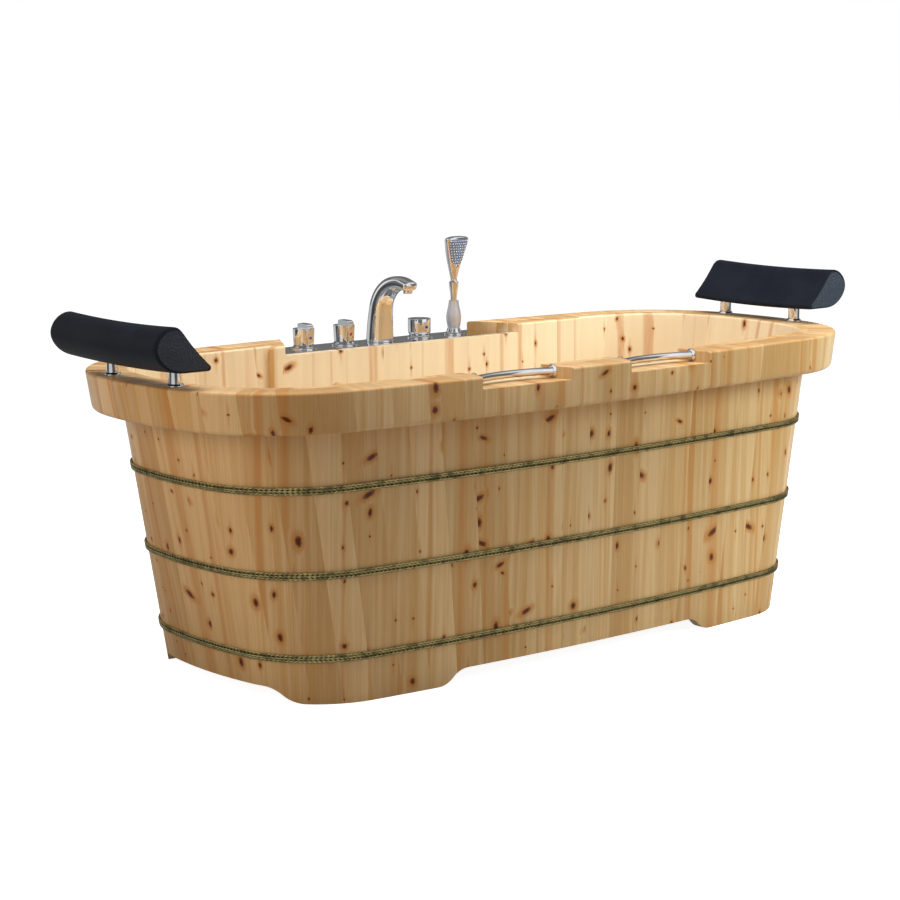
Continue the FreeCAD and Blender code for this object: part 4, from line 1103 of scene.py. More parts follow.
@dataclass
class WoodenShell(Assembly):
    """Staves, rim blocks, tap ledge and floor, each board with its own grain and tint."""

    upright: tuple[str, ...] = (
        "front_staves", "back_staves", "left_end_staves", "right_end_staves", "front_rim_blocks",
        "back_rim_blocks", "left_end_rim_blocks", "right_end_rim_blocks", "ledge_boards",
    )
    lengthwise: tuple[str, ...] = ("floor_boards",)
    crosswise: tuple[str, ...] = ("floor_battens",)
    spine_half: float = 465 * MM
    flat_angle: float = 0.6
    edge_angle: float = 40.0
    sharp_angle: float = 30.0
    edge_round: float = 1.4 * MM
    edge_segments: int = 2
    joint_round: float = 0.25
    joint_facing: float = 0.9
    inner_facing: float = 0.7
    # Shares of painted light on inner faces: a paler colour for the brighter light inside the tub.
    wall_inner_light: float = 1.0
    floor_inner_light: float = 0.35
    heart_aside: float = 110 * MM
    trees: int = 40
    heart_near: float = 50 * MM
    trunk_length: int = 30
    tint_spread: float = 0.42
    seed: int = 11

    def axes(self, centre: Vector, grain: Grain) -> tuple[Vector, Vector, Vector]:
        """Find a board's own directions.

        Args:
            centre: The board's middle.
            grain: Which way its grain runs.

        Returns:
            The directions across its face, into it and along its grain.
        """
        if grain is Grain.LENGTHWISE:
            return Vector((0, 1, 0)), Vector((0, 0, 1)), Vector((1, 0, 0))
        if grain is Grain.CROSSWISE:
            return Vector((1, 0, 0)), Vector((0, 0, 1)), Vector((0, 1, 0))
        spine = Vector((max(-self.spine_half, min(self.spine_half, centre.x)), 0.0, centre.z))
        inward = (spine - centre).normalized()
        return Vector((-inward.y, inward.x, 0.0)), inward, Vector((0, 0, 1))

    def board(self, bm: Shape, grain: Grain, pale: float, draw: random.Random) -> Shape:
        """Clean one board and write its own space and tint on its points.

        Args:
            bm: The board's triangles.
            grain: Which way its grain runs.
            pale: How strongly its inner faces take the paler painted-light colour.
            draw: The source of each board's place in the tree.

        Returns:
            The same shape.
        """
        limit = math.radians(self.flat_angle)
        bmesh.ops.dissolve_limit(bm, angle_limit=limit, verts=bm.verts, edges=bm.edges)
        centre = sum((vertex.co for vertex in bm.verts), Vector()) / len(bm.verts)
        across, inward, along = self.axes(centre, grain)
        aside = draw.uniform(-self.heart_aside, self.heart_aside) + draw.randrange(self.trees)
        shift = Vector((aside, draw.uniform(0.0, self.heart_near), draw.uniform(0, self.trunk_length)))
        tint = draw.gauss(0.0, self.tint_spread)
        space = bm.verts.layers.float_vector.new("board_space")
        shade = bm.verts.layers.float.new("board_tint")
        side = bm.verts.layers.float.new("board_inside")
        bm.normal_update()
        for vertex in bm.verts:
            local = vertex.co - centre
            vertex[space] = Vector((local.dot(across), local.dot(inward), local.dot(along))) + shift
            # Inner faces are marked for painted light, a paler colour standing for the light inside the tub.
            faces_in = any(face.normal.dot(inward) > self.inner_facing for face in vertex.link_faces)
            vertex[side] = pale if faces_in else 0.0
            vertex[shade] = max(-1.0, min(1.0, tint))
        weight = bm.edges.layers.float.new("bevel_weight_edge")
        for edge in bm.edges:
            if len(edge.link_faces) == 2 and edge.calc_face_angle(0.0) > math.radians(self.edge_angle):
                beside = max(abs(face.normal.dot(across)) for face in edge.link_faces)
                edge[weight] = self.joint_round if beside > self.joint_facing else 1.0
        return bm

    def dress(self, name: str, grain: Grain) -> None:
        """Build one node's boards and show them in its place.

        Args:
            name: The node's name.
            grain: Which way its boards' grain runs.
        """
        draw = random.Random("%s %d" % (name, self.seed))
        joined = bpy.data.meshes.new(name + "_boards")
        whole = bmesh.new()
        solids = closed_solids(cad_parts[name].data)
        # Share of painted light on inner faces; the rim blocks get none.
        pale = self.wall_inner_light if grain is Grain.UPRIGHT else self.floor_inner_light
        for solid in solids:
            part = bpy.data.meshes.new("board")
            self.board(solid, grain, 0.0 if "rim" in name else pale, draw).to_mesh(part)
            solid.free()
            whole.from_mesh(part)
            bpy.data.meshes.remove(part)
        whole.to_mesh(joined)
        whole.free()
        work = work_object(name, joined)
        bevel = work.modifiers.new("edges", "BEVEL")
        bevel.limit_method = "WEIGHT"
        bevel.width = self.edge_round
        bevel.segments = self.edge_segments
        bevel.use_clamp_overlap = True
        mesh = smoothed(settled(work, name + "_boards"), self.sharp_angle)
        self.dresser.piece(name + "_boards", mesh, Slot.WOOD, Body.TUB, name)
        log.info("%s: %d boards", name, len(solids))

    def build(self) -> None:
        """Build every wooden node."""
        by_grain = {
            Grain.UPRIGHT: self.upright, Grain.LENGTHWISE: self.lengthwise, Grain.CROSSWISE: self.crosswise,
        }
        for grain, names in by_grain.items():
            for name in names:
                self.dress(name, grain)


@dataclass
class WallOutline:
    """Level outline of the staves' outside: eight tangent arcs that lean outwards."""

    rim_half_length: float = 835 * MM
    rim_half_width: float = 360 * MM
    rim_top: float = 576 * MM
    overhang: float = 56 * MM
    rim_corner: float = 262 * MM
    base_corner: float = 175 * MM
    side_sweep: float = math.radians(5.4)
    end_sweep: float = math.radians(9.0)
    side_lean: float = math.radians(1.0)
    end_lean: float = math.radians(11.0)
    steps: int = 40

    def arcs(self, half_length: float, half_width: float, corner: float) -> list[Triple]:
        """Lay out the arcs of one quarter.

        Args:
            half_length: Half the outline's length.
            half_width: Half its width.
            corner: Radius of its corner arc.

        Returns:
            Centre and radius of the end, corner and side arcs.
        """
        side, end = self.side_sweep, self.end_sweep
        along = half_length + corner * (math.sin(side) - math.cos(end))
        across = half_width + corner * (math.sin(end) - math.cos(side))
        flat = (1 - math.cos(side)) * (1 - math.cos(end))
        scale = math.sin(side) * math.sin(end) - flat
        side_radius = (along * math.sin(end) - across * (1 - math.cos(end))) / scale
        end_radius = (across - side_radius * (1 - math.cos(side))) / math.sin(end)
        corner_x = (side_radius - corner) * math.sin(side)
        corner_y = half_width - side_radius + (side_radius - corner) * math.cos(side)
        return [
            (half_length - end_radius, 0.0, end_radius),
            (corner_x, corner_y, corner),
            (0.0, half_width - side_radius, side_radius),
        ]

    def line(self, level: float, offset: float) -> Ring:
        """Draw the closed outline at a height.

        Args:
            level: Height above the floor.
            offset: Distance outside the staves.

        Returns:
            Points counter-clockwise from the middle of the right end.
        """
        length, width = self.rim_half_length - self.overhang, self.rim_half_width - self.overhang
        top = self.arcs(length, width, self.rim_corner - self.overhang)
        run = self.rim_top * math.tan(self.end_lean)
        rise = self.rim_top * math.tan(self.side_lean)
        base = self.arcs(length - run, width - rise, self.base_corner)
        share = level / self.rim_top
        turns = (0.0, self.end_sweep, math.pi / 2 - self.side_sweep, math.pi / 2)
        quarter = []
        for index in range(3):
            x, y, radius = (low + (high - low) * share for low, high in zip(base[index], top[index]))
            for step in range(self.steps):
                turn = turns[index] + (turns[index + 1] - turns[index]) * step / self.steps
                reach = radius + offset
                quarter.append((x + reach * math.cos(turn), y + reach * math.sin(turn)))
        middle = (0.0, width - rise * (1 - share) + offset)
        left_end = (-quarter[0][0], 0.0)
        half = quarter + [middle] + [(-x, y) for x, y in reversed(quarter[1:])] + [left_end]
        front = [(x, -y) for x, y in reversed(half[1:-1])]
        return [Vector((x, y, level)) for x, y in half + front]


@dataclass
class WireHoops(Assembly):
    """Hoops of twisted brass wire: ropes of either hand lie on each other in every hoop."""

    nodes: tuple[str, ...] = ("upper_hoop", "middle_hoop", "lower_hoop")
    ropes: tuple[tuple[int, float], ...] = ((1, 1.0), (0, -1.0), (-1, 1.0))
    strands: int = 2
    strand_radius: float = 1.45 * MM
    orbit: float = 1.15 * MM
    rope_rise: float = 4.8 * MM
    rope_turns: int = 200
    points_per_turn: int = 9
    profile_sides: int = 8
    seat_gap: float = 0.15 * MM

    def tree(self, material: Material) -> Tree:
        """Build the tree that twists strands into a rope along a level path.

        Args:
            material: The wire's finish.

        Returns:
            The node tree; its inputs are the strand's radius, its orbit, the turns and the hand.
        """
        sheet, given, wanted = new_group(
            "twisted_wire", GEOMETRY_TREE,
            {
                "Geometry": GEOMETRY, "Strand Radius": FLOAT, "Orbit": FLOAT, "Turns": FLOAT, "Hand": FLOAT,
                "Points": WHOLE, "Sides": WHOLE,
            },
            {"Geometry": GEOMETRY},
        )
        path = sheet.feed(sheet.node("GeometryNodeMeshToCurve"), given["Geometry"])
        evenly = sheet.node("GeometryNodeResampleCurve", mode="COUNT")
        even = sheet.feed(evenly, Curve=path, Count=given["Points"])
        circle = sheet.node("GeometryNodeCurvePrimitiveCircle", mode="RADIUS")
        profile = sheet.feed(circle, Resolution=given["Sides"], Radius=given["Strand Radius"])
        share = sheet.node("GeometryNodeSplineParameter").outputs["Factor"]
        tangent = sheet.node("GeometryNodeInputTangent").outputs[0]
        out = sheet.vector("CROSS_PRODUCT", tangent, (0.0, 0.0, 1.0))
        turns = sheet.times(sheet.times(share, sheet.times(given["Turns"], given["Hand"])), math.tau)
        joined = sheet.node("GeometryNodeJoinGeometry")
        for strand in range(self.strands):
            turn = sheet.plus(turns, math.tau * strand / self.strands)
            outwards = sheet.times(sheet.math("COSINE", turn), given["Orbit"])
            upwards = sheet.times(sheet.math("SINE", turn), given["Orbit"])
            scaled = sheet.node("ShaderNodeVectorMath", operation="SCALE")
            aside = sheet.feed(scaled, Vector=out, Scale=outwards)
            offset = sheet.vector("ADD", aside, sheet.combine(0.0, 0.0, upwards))
            moved = sheet.feed(sheet.node("GeometryNodeSetPosition"), Geometry=even, Offset=offset)
            wire = sheet.feed(sheet.node("GeometryNodeCurveToMesh"), moved, profile)
            sheet.put(joined.inputs[0], wire)
        smooth = sheet.feed(sheet.node("GeometryNodeSetShadeSmooth"), joined.outputs[0])
        end_tree(sheet, smooth, material, wanted["Geometry"])
        return sheet.tree

    def build(self) -> None:
        """Twist the ropes of each hoop and show them in the hoop's place."""
        outline = WallOutline()
        tree = self.tree(self.dresser.materials[Slot.HOOP])
        offset = self.orbit + self.strand_radius + self.seat_gap
        values = {
            "Strand Radius": self.strand_radius, "Orbit": self.orbit, "Turns": float(self.rope_turns),
            "Points": self.rope_turns * self.points_per_turn, "Sides": self.profile_sides,
        }
        for node in self.nodes:
            low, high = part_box(node)
            middle = (low.z + high.z) / 2
            whole = bmesh.new()
            for row, hand in self.ropes:
                line = outline.line(middle + row * self.rope_rise, offset)
                count = len(line)
                path = bpy.data.meshes.new(node + "_rope")
                path.from_pydata(line, [(index, (index + 1) % count) for index in range(count)], [])
                whole.from_mesh(noded(path, node + "_rope", tree, {**values, "Hand": hand}))
            mesh = bpy.data.meshes.new(node + "_wire")
            whole.to_mesh(mesh)
            whole.free()
            self.dresser.piece(node + "_wire", mesh, Slot.HOOP, Body.TUB, node)


@dataclass
class Headrests(Assembly):
    """Two moulded foam headrests, each on two chrome posts with collars."""

    length: float = 340 * MM
    lift: float = 28 * MM
    height: float = 82 * MM
    back: float = 90 * MM
    back_height: float = 44 * MM
    front: float = 27 * MM
    crest: float = 36 * MM
    belly: float = 27 * MM
    nose: float = 10 * MM
    nose_bow: float = 5 * MM
    under_bow: float = 13.5 * MM
    back_bow: float = 14.5 * MM
    dish: float = 9 * MM
    end_dish: float = 3 * MM
    dip: float = 4 * MM
    arc_steps: tuple[int, ...] = (14, 22, 18, 30, 6)
    edge: float = 5 * MM
    edge_steps: int = 5
    sharp_angle: float = 40.0
    stations: int = 44
    soften_passes: int = 16
    soften_from: float = 0.3
    soften_reach: float = 26 * MM
    post_radius: float = 12 * MM
    post_edge: float = 0.8 * MM
    collar_bore: float = 12.15 * MM
    collar_radius: float = 15.5 * MM
    collar_neck: float = 13.6 * MM
    collar_step: float = 2.6 * MM
    collar_height: float = 6 * MM
    collar_edge: float = 1.0 * MM
    metal_sides: int = 48

    def section(self, share: float) -> Line:
        """Draw the cushion's section.

        Args:
            share: Place along the cushion, from -1 at one end to 1 at the other.

        Returns:
            Points outwards from the posts and up from the cushion's underside.
        """
        rise = share * share
        low_face = (-self.front, self.nose)
        under = (low_face[0] + self.nose / 2, 0.0)
        belly = (self.belly, 0.0)
        back = (self.back, self.back_height)
        crest = (self.crest, self.height)
        hollow = self.end_dish + (self.dish - self.end_dish) * (1 - rise)
        arcs = (
            (under, belly, 0.0), (belly, back, self.under_bow), (back, crest, self.back_bow),
            (crest, low_face, -hollow), (low_face, under, self.nose_bow),
        )
        line = []
        for (start, end, bow), steps in zip(arcs, self.arc_steps):
            line += bowed(start, end, bow, steps)
        for _ in range(self.soften_passes):
            line = self.softened(line, low_face)
        return [(out, up + self.dip * rise) for out, up in line]

    def softened(self, line: Line, kept: Pair) -> Line:
        """Smooth a closed line once.

        Args:
            line: The line's points.
            kept: The corner near which the line stays as it is.

        Returns:
            The softer line.
        """
        softer = []
        for index, (out, up) in enumerate(line):
            before, after = line[index - 1], line[(index + 1) % len(line)]
            away = math.hypot(out - kept[0], up - kept[1])
            pull = min(1.0, max(0.0, away / self.soften_reach - self.soften_from)) / 2
            middle = ((before[0] + after[0]) / 2, (before[1] + after[1]) / 2)
            softer.append((out + (middle[0] - out) * pull, up + (middle[1] - up) * pull))
        return softer

    def cushion(self, sign: float, post: Vector, name: str) -> Mesh:
        """Loft one cushion with rounded end edges.

        Args:
            sign: 1 for the right end of the tub and -1 for the left.
            post: The middle between its posts, on the rim.
            name: The mesh's name.

        Returns:
            The cushion's mesh, with its end faces marked for pebble grain.
        """
        half = self.length / 2
        inner = half - self.edge
        spots = []
        for step in range(self.edge_steps):
            turn = math.pi / 2 * step / self.edge_steps
            spots.append((-half + self.edge * (1 - math.cos(turn)), self.edge * (1 - math.sin(turn))))
        middles = [(-inner + 2 * inner * step / self.stations, 0.0) for step in range(self.stations + 1)]
        rings = []
        for y, inset in spots + middles + [(-y, inset) for y, inset in reversed(spots)]:
            line = self.section(y / half)
            mid_out = sum(out for out, up in line) / len(line)
            mid_up = sum(up for out, up in line) / len(line)
            shrink = 1 - inset / (self.height / 2)
            ring = []
            for out, up in line:
                across = mid_out + (out - mid_out) * shrink
                level = mid_up + (up - mid_up) * shrink
                ring.append(Vector((post.x + sign * across, y, post.z + self.lift + level)))
            rings.append(ring)
        bm = bmesh.new()
        pebble = bm.verts.layers.float.new("pebble")
        rows = skin(bm, rings)
        for vertex in rows[0] + rows[-1]:
            vertex[pebble] = 1.0
        return finish_mesh(bm, name, self.sharp_angle)

    def metal(self, feet: Ring, tall: float) -> None:
        """Turn the posts and their stepped collars.

        Args:
            feet: The middle of each post's foot.
            tall: The posts' height.
        """
        post = [(0, 0), (self.post_radius, 0), (self.post_radius, tall), (0, tall)]
        collar = rounded_line([
            (self.collar_bore, 0), (self.collar_radius, 0), (self.collar_radius, self.collar_step),
            (self.collar_neck, self.collar_height), (self.collar_bore, self.collar_height),
        ], self.collar_edge)
        lines = {"headrest_posts": rounded_line(post, self.post_edge), "post_collars": collar + collar[:1]}
        for node, line in lines.items():
            bm = bmesh.new()
            for foot in feet:
                lathe(bm, line, Matrix.Translation(foot), self.metal_sides)
            name = node + "_turned"
            self.dresser.piece(name, finish_mesh(bm, name), Slot.CHROME, Body.TUB, node)

    def build(self) -> None:
        """Make both cushions and their posts and collars."""
        low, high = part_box("headrest_posts")
        reach, spread = high.x - self.post_radius, high.y - self.post_radius
        for sign, node in ((-1.0, "left_headrest"), (1.0, "right_headrest")):
            name = node + "_cushion"
            mesh = self.cushion(sign, Vector((sign * reach, 0.0, low.z)), name)
            piece = self.dresser.piece(name, mesh, Slot.FOAM, Body.TUB, node)
        feet = [Vector((x, y, low.z)) for x in (-reach, reach) for y in (-spread, spread)]
        self.metal(feet, high.z - low.z)


@dataclass
class BathFiller(Assembly):
    """Two lever taps, the diverter knob and the flanges that they stand on."""

    flange_radius: float = 28.5 * MM
    flange_hub: float = 20 * MM
    flange_height: float = 7 * MM
    flange_lip: float = 2.4 * MM
    flange_step: float = 3 * MM
    flange_rise: float = 1.2 * MM
    flange_edge: float = 0.9 * MM
    neck_room: float = 12.4 * MM
    spindle_radius: float = 6 * MM
    spindle_room: float = 22.6 * MM
    neck_height: float = 9.6 * MM
    neck_bore: float = 13 * MM
    barrel_foot: float = 20.5 * MM
    barrel_top: float = 22 * MM
    barrel_height: float = 34 * MM
    lever_width: float = 15 * MM
    lever_height: float = 10 * MM
    lever_length: float = 34 * MM
    lever_overhang: float = 1.5 * MM
    lever_tongue: float = 6 * MM
    lever_foot: float = 1.2 * MM
    lever_toe: float = 1.5 * MM
    lever_nose: float = 8 * MM
    lever_heel: float = 2.5 * MM
    lever_rest: float = 0.5 * MM
    lever_sink: float = 4 * MM
    lever_edge: float = 1.1 * MM
    lever_edge_steps: int = 3
    lever_round_steps: int = 6
    knob_foot: float = 22 * MM
    knob_radius: float = 24 * MM
    knob_height: float = 33 * MM
    knob_waist: float = 5 * MM
    knob_rim: float = 5 * MM
    knob_hollow: float = 8 * MM
    knob_dip: float = 1 * MM
    dot_inlay: float = 3 * MM
    dot_wall: float = 0.35
    dot_steps: int = 5
    dot_sides: int = 24
    edge: float = 1.4 * MM
    sides: int = 96

    def bore(self) -> Line:
        """Return the line of the hollow for a valve's spindle and neck."""
        radius, room, neck, wide = self.spindle_radius, self.spindle_room, self.neck_height, self.neck_bore
        return [(0.0, room), (radius, room), (radius, neck), (wide, neck), (wide, 0.0)]

    def flange(self, node: str) -> None:
        """Turn a stepped flange.

        Args:
            node: The flange's node.
        """
        line = rounded_line([
            (self.neck_room, 0.0), (self.flange_radius, 0.0), (self.flange_radius, self.flange_lip),
            (self.flange_hub + self.flange_step, self.flange_lip + self.flange_rise),
            (self.flange_hub, self.flange_height), (self.neck_room, self.flange_height),
        ], self.flange_edge)
        self.turn(node + "_turned", line + line[:1], Matrix.Translation(seat(node)), Body.TUB, node)

    def lever(self, foot: Vector, name: str) -> Mesh:
        """Cut the lever that lies over a tap's barrel and turns down at its front.

        Args:
            foot: Foot of the barrel.
            name: The mesh's name.

        Returns:
            The lever's mesh.
        """
        front = self.barrel_top + self.lever_overhang
        back = front - self.lever_length
        inner = front - self.lever_tongue
        low, top = self.lever_foot, self.barrel_height + self.lever_height
        rest = self.barrel_height - self.lever_sink
        side = rounded_line(
            [(inner, low), (front, low), (front, top), (back, top), (back, rest), (inner, rest)],
            [0.0, self.lever_toe, self.lever_nose, self.lever_heel, self.lever_rest, 0.0],
            self.lever_round_steps)
        half = self.lever_width / 2
        bm = bmesh.new()
        rings = [[foot + Vector((across, -out, up)) for out, up in side] for across in (-half, half)]
        rows = skin(bm, rings)
        rims = [edge for edge in bm.edges if any(set(edge.verts) <= set(row) for row in rows)]
        bmesh.ops.bevel(
            bm, geom=rims, offset=self.lever_edge, segments=self.lever_edge_steps, affect="EDGES",
            clamp_overlap=True)
        return finish_mesh(bm, name)

    def handle_foot(self, label: str, node: str) -> Matrix:
        """Return the matrix that stands a handle on its flange's axis, at the handle's own height."""
        middle = seat(label + "_flange")
        return Matrix.Translation(Vector((middle.x, middle.y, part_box(node)[0].z)))

    def tap(self, label: str, body: Body) -> None:
        """Make a tap's handle: a tapered barrel joined with its lever.

        Args:
            label: First word of its nodes' names.
            body: The body that turns.
        """
        node = label + "_handle"
        place = self.handle_foot(label, node)
        top = self.barrel_height
        line = self.bore() + [(self.barrel_foot, 0.0), (self.barrel_top, top), (0.0, top)]
        barrel = turned(node + "_barrel", rounded_line(line, self.edge), place, self.sides)
        lever = self.lever(place.translation, node + "_tongue")
        self.dresser.piece(node + "_lever", union(node + "_lever", barrel, lever), Slot.CHROME, body, node)

    def knob(self) -> None:
        """Turn the diverter knob, waisted at its foot and hollowed a little on top."""
        radius, top = self.knob_radius, self.knob_height
        dip = top - self.knob_dip
        line = self.bore() + [
            (self.knob_foot, 0.0), (radius, self.knob_waist), (radius, top), (radius - self.knob_rim, top),
            (radius - self.knob_hollow, dip), (0.0, dip),
        ]
        node = "diverter_knob"
        place, line = self.handle_foot("diverter", node), rounded_line(line, self.edge)
        self.turn(node + "_turned", line, place, Body.DIVERTER, node, sides=self.sides)

    def dot(self, node: str, slot: Slot, body: Body) -> None:
        """Let a domed enamel dot into the front of a handle.

        Args:
            node: The dot's node.
            slot: Its finish.
            body: The body that it turns with.
        """
        low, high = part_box(node)
        radius, rise = (high.x - low.x) / 2, high.y - low.y
        place = Vector(((low.x + high.x) / 2, high.y, (low.z + high.z) / 2))
        line = [(0.0, -self.dot_inlay), (radius, -self.dot_inlay), (radius, self.dot_wall * rise)]
        for step in range(1, self.dot_steps + 1):
            turn = math.pi / 2 * step / self.dot_steps
            dome = self.dot_wall + (1 - self.dot_wall) * math.sin(turn)
            line.append((radius * math.cos(turn), rise * dome))
        mesh = turned(node + "_enamel", line, forwards(place), self.dot_sides)
        self.dresser.piece(node + "_enamel", mesh, slot, body, node)

    def build(self) -> None:
        """Make the flanges, handles, knob and dots."""
        for label in ("cold", "hot", "diverter"):
            self.flange(label + "_flange")
        self.tap("cold", Body.COLD)
        self.tap("hot", Body.HOT)
        self.knob()
        self.dot("cold_dot", Slot.BLUE, Body.COLD)
        self.dot("hot_dot", Slot.RED, Body.HOT)
        self.dot("diverter_dot", Slot.BLUE, Body.DIVERTER)


@dataclass
class Spout(Assembly):
    """Tapered spout with a flat leaf-shaped front, its rounded beak and its outlet."""

    base: float = 28.5 * MM
    tip_wide: float = 18 * MM
    tip_deep: float = 8.5 * MM
    deep_taper: float = 1.5
    column: float = 67.5 * MM
    bend: float = 66 * MM
    dip: float = math.radians(10)
    lean: float = 0.13
    beak: float = 24 * MM
    beak_square: float = 0.9
    square_pace: float = 1.4
    square_delay: float = 0.4
    nose: float = 8 * MM
    nose_steps: int = 8
    nose_open: float = 0.35
    nose_power: float = 0.8
    leaf_depth: float = 0.80
    leaf_height: float = 122 * MM
    sharp_angle: float = 26.0
    shank_radius: float = 16 * MM
    collar_step: float = 1.6 * MM
    collar_height: float = 4 * MM
    collar_edge: float = 1.3 * MM
    outlet_lip: float = 2.6 * MM
    outlet_throat: float = 3.2 * MM
    outlet_depth: float = 6 * MM
    edge: float = 0.8 * MM
    stations: int = 44
    sides: int = 72
    shank_sides: int = 48

    @property
    def length(self) -> float:
        """Return the length of the spout's middle line."""
        return self.column + self.bend * (math.pi / 2 + self.dip - self.lean) + self.beak

    def path(self, distance: float) -> Triple:
        """Follow the spout's middle line.

        Args:
            distance: Way along it from the foot.

        Returns:
            How far forward and up the line is there, and its turn.
        """
        bow, turn = self.column / self.lean, math.pi / 2 + self.dip
        angle = min(self.lean, distance / bow)
        forward, height = bow * (1 - math.cos(angle)), bow * math.sin(angle)
        if distance <= self.column:
            return forward, height, angle
        angle = min(turn, self.lean + (distance - self.column) / self.bend)
        forward += self.bend * (math.cos(self.lean) - math.cos(angle))
        height += self.bend * (math.sin(angle) - math.sin(self.lean))
        rest = max(0.0, distance - self.length + self.beak)
        return forward + rest * math.sin(turn), height + rest * math.cos(turn), angle

    def ring(self, foot: Vector, distance: float, shrink: float) -> Ring:
        """Draw one section of the spout.

        Args:
            foot: The spout's foot.
            distance: Place along its middle line.
            shrink: Scale of the section, under 1 in the rounded nose.

        Returns:
            The section's points.
        """
        share = distance / self.length
        wide = (self.base + (self.tip_wide - self.base) * share) * shrink
        deep = (self.base + (self.tip_deep - self.base) * share ** self.deep_taper) * shrink
        forward, height, angle = self.path(distance)
        centre = foot + Vector((0.0, -forward, height))
        up = Vector((0.0, math.cos(angle), math.sin(angle)))
        leaf = self.leaf_depth + (1 - self.leaf_depth) * min(1.0, distance / self.leaf_height)
        power = 2.0 + self.beak_square * eased(share * self.square_pace - self.square_delay)
        points = []
        for across, back in power_ring(wide, deep, power, self.sides):
            points.append(centre + Vector((across, 0.0, 0.0)) + up * max(back, -leaf * deep))
        return points

    def outlet(self) -> None:
        """Turn the outlet piece under the beak."""
        node = "spout_aerator"
        low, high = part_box(node)
        radius, tall = (high.x - low.x) / 2, high.z - low.z
        line = rounded_line([
            (0.0, tall), (radius, tall), (radius, 0.0), (radius - self.outlet_lip, 0.0),
            (radius - self.outlet_throat, self.outlet_depth), (0.0, self.outlet_depth),
        ], self.edge)
        place = Matrix.Translation(seat(node))
        self.turn(node + "_turned", line, place, Body.TUB, node, sides=self.shank_sides)

    def build(self) -> None:
        """Make the spout on its shank and collar, and its outlet."""
        low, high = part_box("spout")
        foot = Vector(((low.x + high.x) / 2, seat("cold_flange").y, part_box("deck_plate")[1].z))
        level = self.length - self.nose
        rings = [self.ring(foot, level * step / self.stations, 1.0) for step in range(self.stations + 1)]
        for step in range(1, self.nose_steps + 1):
            turn = math.pi / 2 * step / (self.nose_steps + self.nose_open)
            shrink = math.cos(turn) ** self.nose_power
            rings.append(self.ring(foot, level + self.nose * math.sin(turn), shrink))
        bm = bmesh.new()
        skin(bm, rings)
        under, shank = low.z - foot.z, self.shank_radius
        line = [(0.0, under), (shank, under), (shank, 0.0), (0.0, 0.0)]
        lathe(bm, rounded_line(line, self.edge), Matrix.Translation(foot), self.shank_sides)
        collar, top = self.base + self.collar_step, self.collar_height
        line = [(0.0, 0.0), (collar, 0.0), (collar, top), (0.0, top)]
        lathe(bm, rounded_line(line, self.collar_edge), Matrix.Translation(foot))
        mesh = finish_mesh(bm, "spout_cast", self.sharp_angle)
        self.dresser.piece("spout_cast", mesh, Slot.CHROME, Body.TUB, "spout")
        self.outlet()


